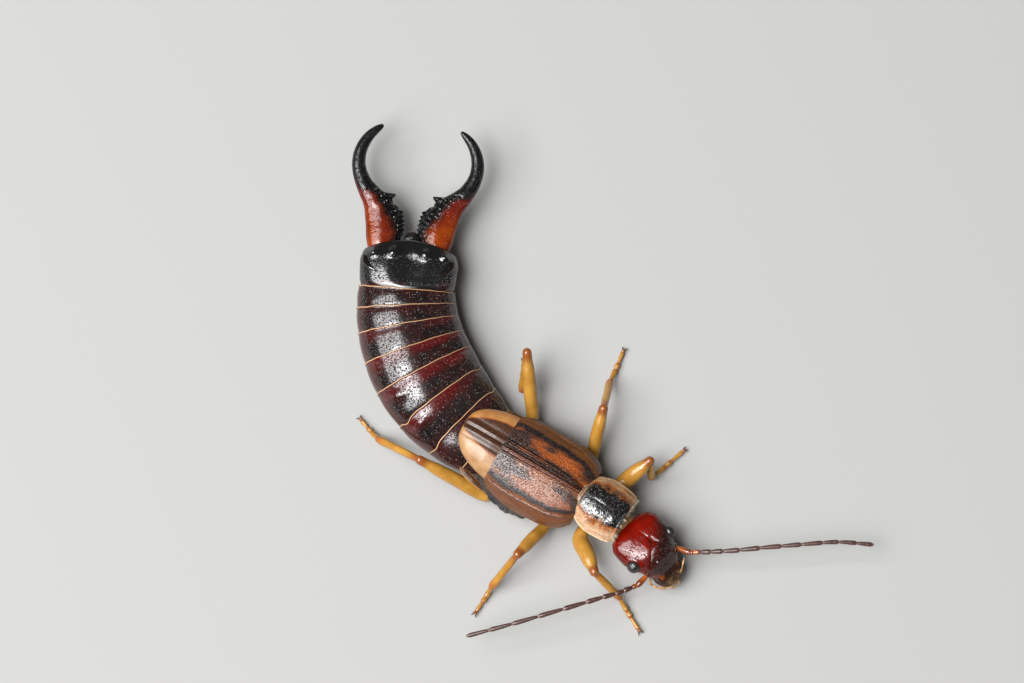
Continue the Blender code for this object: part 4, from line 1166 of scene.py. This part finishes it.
# (forwards, half width, top, underside)
HEAD = (
    (-1.14, 0.50, 0.14, -0.24),
    (-1.11, 0.66, 0.24, -0.32),
    (-0.99, 0.87, 0.36, -0.42),
    (-0.70, 1.045, 0.49, -0.52),
    (-0.25, 1.055, 0.61, -0.58),
    (0.15, 0.94, 0.69, -0.60),
    (0.48, 0.78, 0.63, -0.60),
    (0.77, 0.63, 0.42, -0.56),
    (0.99, 0.48, 0.20, -0.48),
)
NAPE = -0.04
EYE_PLACE = (0.05, 0.89, 0.21)
SOCKET_PLACE = (0.60, 0.72, 0.02)
CROWN = (-0.20, 0.12)  # forwards and left, where the grooves meet
HEAD_SIDES, HEAD_ROWS, HEAD_SQUARENESS = 216, 160, 2.35


def off_line(point, start, end):
    """Distance of a flat point from a straight stretch."""
    across = Vector(end) - Vector(start)
    from_start = Vector(point) - Vector(start)
    share = min(max(from_start.dot(across) / across.length_squared, 0.0), 1.0)
    return (from_start - across * share).length


def head_point(forwards, turn):
    """A point of the capsule, with its grooves, hollows and the rims round the eyes."""
    half_width, top, bottom = along(HEAD, forwards)
    wide, high = squarish(turn, HEAD_SQUARENESS)
    left, up = half_width * wide, high * (top if high > 0 else -bottom)
    if high > 0:
        spot = (forwards, left)
        stem = off_line(spot, (-1.1, 0.0), CROWN)
        up -= (0.045 * hump(stem, 0.028) + 0.045 * hump(stem, 0.18)) * hump(forwards - CROWN[0], 0.45)
        cross_ends = (CROWN[0] - 0.10, CROWN[1] + 0.05), (CROWN[0] + 0.16, CROWN[1] - 0.10)
        up -= 0.045 * hump(off_line(spot, *cross_ends), 0.030)
        for side in (1, -1):
            arm_end = (0.40, side * 0.50)
            fading = 0.3 + 0.7 * hump(forwards - CROWN[0], 0.25)
            arm = off_line(spot, CROWN, arm_end)
            up -= (0.065 * hump(arm, 0.030) + 0.026 * hump(arm, 0.14)) * fading
            hollow = (Vector(spot) - Vector((0.44, side * 0.28))).length
            up -= 0.055 * hump(hollow, 0.075) - 0.012 * hump(hollow - 0.13, 0.04)
        up += 0.10 * hump(left - 0.10, 0.42) * hump(forwards - 0.02, 0.50)
        up -= 0.030 * hump((Vector(spot) - Vector((0.66, -0.05))).length, 0.10)
    place = Vector((forwards, left, up))
    outward = Vector((0.15 * (forwards + 0.2), left / 1.1, up / 0.6)).normalized()
    for side in (1, -1):
        to_eye = place - Vector((EYE_PLACE[0], side * EYE_PLACE[1], EYE_PLACE[2]))
        reach = Vector((to_eye.x / 0.27, to_eye.y / 0.25, to_eye.z / 0.22)).length
        place += outward * (0.015 * hump(reach - 1.25, 0.14) - 0.06 * hump(reach, 0.8))
    hollow = NAPE * max(0.0, 1 - abs(left) / 0.8) ** 1.3 * max(0.0, -forwards / 1.17) ** 4
    return head_frame(place.x + hollow, place.y, place.z)


def spotted(tree, place, colour, centre, spot_colour):
    """The colour with a small soft spot on each side of the head."""
    for side in (1, -1):
        spot = tuple((head_frame(centre[0], side * centre[1], centre[2]) - FRAME_ZERO) * MM)
        near = add(tree, "VectorMath", place, spot, output=1, operation="DISTANCE")
        colour = tint(tree, fade(tree, near, 0.22 * MM, 0.08 * MM), colour, spot_colour)
    return colour


rows = []
for forwards in crowded_ends(HEAD, HEAD_ROWS):
    rows.append([head_point(forwards, math.tau * n / HEAD_SIDES) for n in range(HEAD_SIDES)])
head = lay("head_capsule", capped(rows))
look, tree, shader = new_look("head_horn", 0.16, specular=0.5)
place, round_share, share = places(tree)
red = tint(tree, blotches(tree, place, 1.0, 2.0, 0.3, 0.7), (0.095, 0.0022, 0.0005), (0.190, 0.0045, 0.0005))
# The face is darker, and painted shade carries that dark further back on the left
painted_shade_on_left = calc(tree, "MULTIPLY", around(tree, "COSINE", round_share), 0.20)
face = calc(tree, "ADD", calc(tree, "ADD", share, ragged(tree, place, 2.0, 3.0, 0.22)), painted_shade_on_left)
front = fade(tree, face, 0.40, 0.64)
colour = tint(tree, front, red, (0.022, 0.004, 0.002))
underneath = fade(tree, around(tree, "SINE", round_share), 0.1, -0.5)
colour = tint(tree, calc(tree, "MULTIPLY", underneath, 0.6), colour, (0.26, 0.035, 0.006))
colour = tint(tree, fade(tree, share, 0.95, 0.99), colour, (0.10, 0.030, 0.010))
colour = spotted(tree, place, colour, (0.90, 0.52, 0.10), (0.14, 0.025, 0.004))
# Small pores, painted black as painted shade inside them, none towards the nape
pores = between(tree, fade(tree, share, 0.28, 0.42), 1.0, fade(tree, cells(tree, place, 14.0), 0.13, 0.40))
colour = tint(tree, pores, (0.012, 0.002, 0.001), colour)
normal = dent(tree, pores, 0.016, dent(tree, noise(tree, place, 2.4, 3.0), 0.024))
paint(shader, colour, normal, between(tree, pores, 0.30, between(tree, front, 0.15, 0.20)))
fit(head, look, "head")


# Eyes
# Two small oval domes of fine facets, dark grey, set in the sides of the head behind the feelers.

EYE_RADII = (0.25, 0.24, 0.28)

look, tree, shader = new_look("eye_facets", 0.26, specular=1.0)
place, _, _ = places(tree)
facets = cells(tree, place, 28.0, 0.25)
colour = tint(tree, fade(tree, facets, 0.25, 0.55), (0.030, 0.028, 0.030), (0.008, 0.008, 0.009))
paint(shader, colour, dent(tree, facets, -0.008))
for hand, side in SIDES:
    bpy.ops.object.select_all(action="DESELECT")
    bpy.ops.mesh.primitive_uv_sphere_add(segments=64, ring_count=40, radius=1.0)
    eye = bpy.context.object
    eye.name = f"compound_eye_{hand}"
    for vert in eye.data.vertices:
        forwards = EYE_PLACE[0] + EYE_RADII[0] * vert.co.x
        left = side * (EYE_PLACE[1] + EYE_RADII[1] * vert.co.z)
        up = EYE_PLACE[2] + EYE_RADII[2] * vert.co.y
        vert.co = (head_frame(forwards, left, up) - FRAME_ZERO) * MM
    smooth_skin()
    fit(eye, look.copy(), f"eye_{hand}")


# Mouth
# The face plate, the rounded upper lip in front of it, two dark biting jaws under the lip, and two pairs
# of jointed feelers, pale and bristly.

# (forwards, half width, top, underside)
FACE_PLATE = (
    (0.86, 0.46, 0.22, -0.20), (1.02, 0.46, 0.17, -0.20), (1.16, 0.43, 0.10, -0.20),
    (1.24, 0.38, 0.03, -0.18),
)
UPPER_LIP = (
    (1.10, 0.28, 0.07, -0.20), (1.24, 0.33, 0.03, -0.22), (1.36, 0.32, -0.04, -0.24),
    (1.45, 0.24, -0.11, -0.26), (1.50, 0.12, -0.17, -0.26),
)
LOWER_FACE = (
    (0.60, 0.50, -0.20, -0.50), (1.00, 0.46, -0.16, -0.46), (1.25, 0.36, -0.20, -0.42),
    (1.38, 0.24, -0.24, -0.38),
)

look, tree, shader = new_look("face_horn", 0.45, specular=0.2)
place, _, _ = places(tree)
colour = tint(tree, blotches(tree, place, 4.0, 3.0), (0.009, 0.004, 0.003), (0.030, 0.010, 0.005))
colour = spotted(tree, place, colour, (0.98, 0.44, 0.10), (0.16, 0.035, 0.004))
paint(shader, colour, dent(tree, noise(tree, place, 12.0, 3.0), 0.02))
face_plate = lay("face_plate", capped(body_rows(FACE_PLATE, 24, 48, 2.6, head_frame)))
fit(face_plate, look, "mouthparts")

dark_look, tree, shader = new_look("lip_horn", 0.40, specular=0.3)
place, _, _ = places(tree)
colour = tint(tree, blotches(tree, place, 5.0, 3.0), (0.018, 0.010, 0.008), (0.06, 0.030, 0.018))
paint(shader, colour, dent(tree, noise(tree, place, 10.0, 3.0), 0.02))
lip_rows = capped(body_rows(UPPER_LIP, 24, 40, 2.4, head_frame))
fit(lay("upper_lip", lip_rows), dark_look)
lower_face = lay("lower_lip", capped(body_rows(LOWER_FACE, 24, 40, 2.4, head_frame)))
fit(lower_face, look.copy())

JAW = ((0.75, 0.44, -0.24), (1.10, 0.46, -0.26), (1.34, 0.34, -0.27), (1.50, 0.12, -0.27))
JAW_SIZES = ((0.0, 0.14, 0.12), (0.5, 0.13, 0.10), (0.85, 0.07, 0.06), (1.0, 0.02, 0.02))
# The long upper feelers of the mouth curl forwards on the right and out past the face on the left
UPPER_PALPS = {
    "left": (
        (7.30, -0.62, 0.80), (7.66, -0.86, 0.76), (7.86, -0.88, 0.80), (7.80, -0.64, 0.88),
        (7.79, -0.38, 0.98), (7.67, 0.02, 1.08),
    ),
    "right": (
        (6.96, -0.98, 0.88), (7.02, -1.18, 0.80), (7.14, -1.33, 0.74), (7.40, -1.31, 0.72),
        (7.66, -1.14, 0.70), (7.83, -0.97, 0.70),
    ),
}
UPPER_PALP_TIP = {"left": 0.018, "right": 0.030}
LOWER_PALP = ((1.10, 0.16, -0.44), (1.36, 0.28, -0.55), (1.54, 0.20, -0.60), (1.64, 0.06, -0.60))
pale_look, tree, shader = new_look("palp_horn", 0.35, specular=0.6)
place, _, share = places(tree)
colour = tint(tree, blotches(tree, place, 8.0), (0.36, 0.15, 0.035), (0.58, 0.32, 0.10))
paint(shader, tint(tree, fade(tree, share, 0.75, 1.0), colour, (0.66, 0.42, 0.20)))


def palp(name, route, root, tip, joints):
    """A feeler of the mouth, as thick at its root and tip as those say, that swells at each joint."""
    return limb(
        name, pale_look.copy(), "mouthparts", route, round_sizes((0.0, root), (1.0, tip)), 72, 14,
        fold=lambda share: 0.010 * math.cos(math.tau * joints * share + math.pi),
    )


mouth_hairs = sprout(lip_rows, 90, 0.13, 0.004, lambda point, out: out.z > 0.2)
for hand, side in SIDES:
    route = [head_frame(*point) for point in sided(JAW, side)]
    limb(f"jaw_{hand}", dark_look.copy(), "mouthparts", route, JAW_SIZES, 24, 20)
    tip = UPPER_PALP_TIP[hand]
    rows = palp(f"upper_palp_{hand}", UPPER_PALPS[hand], tip + 0.012, tip, 5)
    mouth_hairs += sprout(rows, 90, 0.09, 0.004)
    route = [head_frame(*point) for point in sided(LOWER_PALP, side)]
    mouth_hairs += sprout(palp(f"lower_palp_{hand}", route, 0.05, 0.035, 3), 20, 0.06, 0.004)
bristles("mouth_bristles", mouth_hairs, (0.46, 0.24, 0.08))


# Feelers
# Each starts in its socket with a long, polished, orange-brown first joint and a short second one, then
# a string of dark velvety joints, each narrow at its foot and broad near its pale end.

FEELERS = {
    "left": (
        (7.75, 0.26, 1.28), (8.90, 0.99, 1.41), (9.97, 1.76, 1.50), (11.08, 2.56, 1.50), (12.10, 3.28, 1.42),
        (13.12, 3.81, 1.30),
    ),
    "right": (
        (6.79, -1.68, 1.36), (6.46, -2.18, 1.55), (5.94, -2.78, 1.66), (4.98, -3.85, 1.72),
        (3.73, -5.19, 1.64), (2.60, -6.33, 1.46),
    ),
}
# Length of each joint past the first, as a share of a long one
FEELER_JOINTS = {
    "left": (0.14, 0.32, 0.50, 0.60, 0.79, 0.96, 1.0, 0.95, 0.99, 0.78, 0.86, 0.75),
    "right": (0.26, 0.38, 0.33, 0.53, 0.65, 0.92, 1.0, 1.02, 0.92, 0.86),
}
FEELER_RADIUS, FEELER_TIP_RADIUS = 0.098, 0.082
FEELER_STEPS = 240
# How many of the joints past the first are polished like it
POLISHED_JOINTS = {"left": 2, "right": 1}
SOCKET_SIZES = round_sizes((0.0, 0.16), (0.55, 0.17), (0.8, 0.14), (1.0, 0.10))
FIRST_JOINT_SIZES = round_sizes((0.0, 0.07), (0.25, 0.075), (0.6, 0.10), (0.9, 0.118), (1.0, 0.10))
# (share of the joint's length, share of its radius)
JOINT_FORM = ((0.0, 0.42), (0.12, 0.70), (0.6, 0.94), (0.88, 1.0), (1.0, 0.66))

base_look, tree, shader = new_look("feeler_base_horn", 0.2, specular=0.9)
place, _, share = places(tree)
colour = tint(tree, fade(tree, share, 0.45, 1.0), (0.36, 0.085, 0.012), (0.14, 0.028, 0.008))
paint(shader, colour, dent(tree, noise(tree, place, 9.0, 3.0), 0.015))

feeler_look, tree, shader = new_look("feeler_horn", 0.32, specular=0.7)
place, _, share = places(tree)
colour = tint(tree, blotches(tree, place, 10.0, 3.0, 0.3, 0.7), (0.036, 0.014, 0.011), (0.085, 0.034, 0.026))
colour = tint(tree, fade(tree, share, 0.93, 0.99), colour, (0.15, 0.075, 0.050))
paint(shader, colour, dent(tree, noise(tree, place, 40.0, 2.0), 0.008))

collar_look, tree, shader = new_look("feeler_socket_horn", 0.2, specular=0.9)
place, _, _ = places(tree)
paint(shader, tint(tree, noise(tree, place, 6.0), (0.030, 0.008, 0.006), (0.09, 0.018, 0.010)))

for hand, side in SIDES:
    socket = head_frame(SOCKET_PLACE[0], side * SOCKET_PLACE[1], SOCKET_PLACE[2])
    inner = head_frame(SOCKET_PLACE[0] - 0.12, side * (SOCKET_PLACE[1] - 0.16), SOCKET_PLACE[2])
    elbow = Vector(FEELERS[hand][0])
    towards = (elbow - socket).normalized()
    route = (socket - towards * 0.16, socket, socket + towards * 0.05)
    limb(f"feeler_{hand}_socket", collar_look.copy(), "head", route, SOCKET_SIZES, 24, 32, ends=(True, False))
    route = (inner, socket, elbow)
    limb(
        f"feeler_{hand}_first_joint", base_look.copy(), "antenna_base", route, FIRST_JOINT_SIZES, 40, 28,
        f"antenna_{hand}_base",
    )
    points = smooth_route(FEELERS[hand], FEELER_STEPS + 1)
    total = sum(FEELER_JOINTS[hand])
    reached = 0.0
    down = []
    for number, length in enumerate(FEELER_JOINTS[hand]):
        start, end = round(FEELER_STEPS * reached / total), round(FEELER_STEPS * (reached + length) / total)
        reached += length
        radius = FEELER_RADIUS + (FEELER_TIP_RADIUS - FEELER_RADIUS) * reached / total
        look = base_look if number < POLISHED_JOINTS[hand] else feeler_look
        rows = limb(
            f"feeler_{hand}_joint_{number + 2}", look.copy(), "antenna", points[start:end + 1],
            round_sizes(*JOINT_FORM, scale=radius), 22, 20, f"antenna_{hand}" if number == 0 else None,
        )
        down += sprout(rows, 26, 0.05, 0.003)
    bristles(f"feeler_{hand}_down", down, (0.30, 0.20, 0.14))


# Legs
# Six short legs of tan, half-clear horn. The thigh is a spindle, the shin is thinner with a knobbed knee,
# and the foot has three joints, the middle one short and padded, and two dark claws.

# Hip, bend under the wing, knee, ankle and toe
LEGS = {
    "front_left": (
        (4.1, 0.4, 0.95), (4.45, 1.28, 0.95), (4.90, 2.30, 1.60), (5.16, 2.03, 0.42), (5.61, 3.46, 0.10),
    ),
    "front_right": (
        (4.0, -0.4, 0.90), (4.14, -1.20, 0.82), (5.23, -2.07, 1.32), (6.37, -2.25, 0.40), (7.52, -2.85, 0.10),
    ),
    "middle_left": (
        (3.0, 0.6, 0.75), (2.98, 1.50, 0.60), (2.55, 3.04, 1.82), (2.13, 4.24, 0.42), (1.94, 5.46, 0.10),
    ),
    "middle_right": (
        (2.8, -0.6, 0.75), (2.83, -1.45, 0.60), (2.61, -2.95, 1.50), (2.33, -4.25, 0.42), (2.29, -5.24, 0.10),
    ),
    "hind_left": (
        (0.9, 0.6, 0.72), (0.50, 1.60, 0.62), (-0.77, 3.33, 2.10), (-0.40, 2.38, 0.42), (-0.90, 3.30, 0.10),
    ),
    "hind_right": (
        (0.9, -0.6, 0.72), (0.50, -1.60, 0.62), (-2.08, -1.84, 1.55), (-3.85, -1.78, 0.42),
        (-4.76, -1.46, 0.10),
    ),
}
HIP_SIZES = ((0.0, 0.24, 0.22), (0.5, 0.27, 0.24), (1.0, 0.19, 0.20))
# The hip end of the middle and hind thighs is alike
HIP_END = ((0.0, 0.15, 0.17), (0.12, 0.18, 0.19), (0.17, 0.155, 0.16), (0.24, 0.20, 0.21))
THIGHS = {
    "front": (
        (0.0, 0.17, 0.18), (0.12, 0.20, 0.21), (0.17, 0.17, 0.18), (0.24, 0.23, 0.24), (0.55, 0.30, 0.29),
        (0.78, 0.27, 0.26), (0.93, 0.185, 0.19), (1.0, 0.17, 0.18),
    ),
    "middle": (*HIP_END, (0.55, 0.235, 0.24), (0.80, 0.22, 0.225), (0.94, 0.175, 0.18), (1.0, 0.165, 0.17)),
    "hind": (*HIP_END, (0.55, 0.245, 0.25), (0.80, 0.225, 0.23), (0.94, 0.17, 0.175), (1.0, 0.165, 0.17)),
}
SHIN = (
    (0.0, 0.15, 0.16), (0.08, 0.12, 0.13), (0.25, 0.135, 0.14), (0.7, 0.14, 0.14), (0.93, 0.15, 0.15),
    (1.0, 0.12, 0.12),
)
# (start, end, half width) of the foot's joints, as shares of its length
FOOT_JOINTS = ((0.0, 0.46, 0.095), (0.46, 0.62, 0.10), (0.62, 1.0, 0.075))
# (share of the joint's length, share of its half width)
FOOT_FORM = ((0.0, 0.6), (0.3, 0.8), (0.85, 1.0), (1.0, 0.75))
FOOT_STEPS = 100
CLAW_LENGTH, CLAW_SPREAD = 0.26, 24
CLAW_SIZES = ((0.0, 0.045, 0.05), (0.5, 0.032, 0.036), (1.0, 0.006, 0.006))


def leg_look(name, knee_end):
    """Tan horn, more orange at both ends. The knee end is a thigh's last and a shin's first."""
    look, tree, shader = new_look(name, 0.2, soft=0.15, specular=0.7)
    place, _, share = places(tree)
    colour = tint(tree, blotches(tree, place, 2.0, 3.0, 0.3, 0.7), (0.34, 0.160, 0.022), (0.44, 0.225, 0.038))
    if knee_end:
        colour = tint(tree, fade(tree, share, 0.30, 0.10), colour, (0.34, 0.10, 0.014))
        colour = tint(tree, fade(tree, share, 0.88, 0.98), colour, (0.24, 0.070, 0.012))
    else:
        colour = tint(tree, fade(tree, share, 0.30, 0.02), colour, (0.26, 0.070, 0.010))
        colour = tint(tree, fade(tree, share, 0.75, 1.0), colour, (0.34, 0.10, 0.015))
    paint(shader, colour, dent(tree, noise(tree, place, 16.0, 3.0), 0.010))
    return look


thigh_look, shin_look = leg_look("thigh_horn", True), leg_look("shin_horn", False)
claw_look, tree, shader = new_look("claw_horn", 0.25, coat=0.4)
place, _, share = places(tree)
paint(shader, tint(tree, fade(tree, share, 0.2, 0.8), (0.22, 0.07, 0.015), (0.03, 0.014, 0.009)))

leg_hairs = []
PICTURE_RIGHT = Vector((0.857, 0.515, 0))
for name, points in LEGS.items():
    pair, hand = name.split("_")
    side = dict(SIDES)[hand]
    hip, bend, knee, ankle, toe = (Vector(point) for point in points)
    root, middle = Vector((hip.x + 0.22, side * 0.16, 0.74)), Vector((hip.x + 0.10, side * 0.38, 0.64))
    limb(f"hip_{name}", thigh_look.copy(), "leg", (root, middle, hip.lerp(bend, 0.30)), HIP_SIZES, 30, 28)
    route = (hip, bend, bend.lerp(knee, 0.5), knee)
    rows = limb(f"thigh_{name}", thigh_look.copy(), "leg", route, THIGHS[pair], 60, 32, f"leg_{name}_femur")
    leg_hairs += sprout(rows, 40, 0.06, 0.004)
    if name == "front_right":
        # A row of strong bristles stands out from its front edge
        for row in rows[22:60:2]:
            root = max(row, key=lambda point: point.dot(PICTURE_RIGHT))
            leg_hairs.append((root, (PICTURE_RIGHT + Vector((0.2, -0.3, 0.0))).normalized(), 0.13, 0.009))
    route = (knee, knee.lerp(ankle, 0.5), ankle)
    rows = limb(
        f"shin_{name}", shin_look.copy(), "leg", route, SHIN, 40, 24, f"leg_{name}_tibia", up=(0.3, 0.2, 1),
    )
    leg_hairs += sprout(rows, 70, 0.08, 0.004)
    # Two spurs at the ankle
    down = (ankle - knee).normalized()
    for spur in (down.orthogonal(), -down.orthogonal()):
        leg_hairs.append((ankle + spur.normalized() * 0.09, (down + spur * 0.35).normalized(), 0.16, 0.014))
    route = smooth_route((ankle, ankle.lerp(toe, 0.35) - Vector((0, 0, 0.13)), toe), FOOT_STEPS + 1)
    for number, (start, end, half) in enumerate(FOOT_JOINTS):
        stretch = route[round(FOOT_STEPS * start):round(FOOT_STEPS * end) + 1]
        sizes = round_sizes(*FOOT_FORM, scale=half)
        node = f"leg_{name}_tarsus" if number == 0 else None
        rows = limb(f"foot_{name}_{number + 1}", shin_look.copy(), "leg", stretch, sizes, 20, 18, node)
        leg_hairs += sprout(rows, 45, 0.06, 0.004, lambda point, out: point.z > 0.06)
    forward = Vector((toe.x - ankle.x, toe.y - ankle.y, 0)).normalized()
    for claw_hand, turn in SIDES:
        aim = Matrix.Rotation(math.radians(turn * CLAW_SPREAD), 3, "Z") @ forward
        start = toe + Vector((0, 0, 0.01)) - aim * 0.04
        crest = start + aim * 0.55 * CLAW_LENGTH + Vector((0, 0, 0.03))
        tip = start + aim * CLAW_LENGTH - Vector((0, 0, 0.08))
        limb(f"claw_{name}_{claw_hand}", claw_look.copy(), "leg", (start, crest, tip), CLAW_SIZES, 16, 10)
bristles("leg_bristles", leg_hairs, (0.66, 0.42, 0.16))


# Floor, light and camera
# A pale floor, a large soft lamp behind the animal's right side with a smaller one beside it, a faint one in
# front, and a long lens that looks down as the photograph does.

VIEW_TURN, VIEW_HEIGHT = math.radians(31), math.radians(78)
VIEW_DISTANCE = 0.2
VIEW_CENTRE = Vector((-1.66, 3.78, 0))
LENS, SENSOR_WIDTH = 196.9, 36
FLOOR_SIZE, FLOOR_DROP = 1.2, 0.00002
LAMP_DISTANCE = 0.30

bpy.ops.object.select_all(action="DESELECT")
bpy.ops.mesh.primitive_plane_add(size=FLOOR_SIZE, location=(0, 0, -FLOOR_DROP))
floor = bpy.context.object
floor.name = "floor"
look, tree, shader = new_look("floor_paper", 0.8)
shader.inputs["Base Color"].default_value = (0.36, 0.36, 0.35, 1.0)
floor.data.materials.append(look)

bpy.ops.object.camera_add()
camera = bpy.context.object
camera.data.lens = LENS
camera.data.sensor_width = SENSOR_WIDTH
camera.data.clip_start = 0.01
camera.rotation_euler = (math.pi / 2 - VIEW_HEIGHT, 0, VIEW_TURN)
flat = math.cos(VIEW_HEIGHT)
aim = Vector((math.sin(VIEW_TURN) * flat, -math.cos(VIEW_TURN) * flat, math.sin(VIEW_HEIGHT)))
camera.location = (VIEW_CENTRE - FRAME_ZERO) * MM + aim * VIEW_DISTANCE
bpy.context.scene.camera = camera


def lamp(name, turn, height, size, power_w):
    """A soft square lamp that faces the animal. Turn is counted from the right of the view."""
    angle = VIEW_TURN + math.radians(turn)
    up = math.radians(height)
    flat = math.cos(up)
    place = Vector((math.cos(angle) * flat, math.sin(angle) * flat, math.sin(up))) * LAMP_DISTANCE
    bpy.ops.object.light_add(type="AREA", location=place, rotation=place.to_track_quat("Z", "Y").to_euler())
    made = bpy.context.object
    made.name = name
    made.data.size = size
    made.data.energy = power_w


lamp("key", 198, 58, 0.26, 1.75)
lamp("core", 212, 68, 0.10, 0.42)
lamp("fill", -25, 50, 0.15, 0.010)

world = bpy.data.worlds.new("studio")
bpy.context.scene.world = world
world.use_nodes = True
world.node_tree.nodes["Background"].inputs["Color"].default_value = (1.0, 0.98, 0.95, 1.0)
world.node_tree.nodes["Background"].inputs["Strength"].default_value = 0.08
bpy.context.scene.view_settings.view_transform = "Standard"
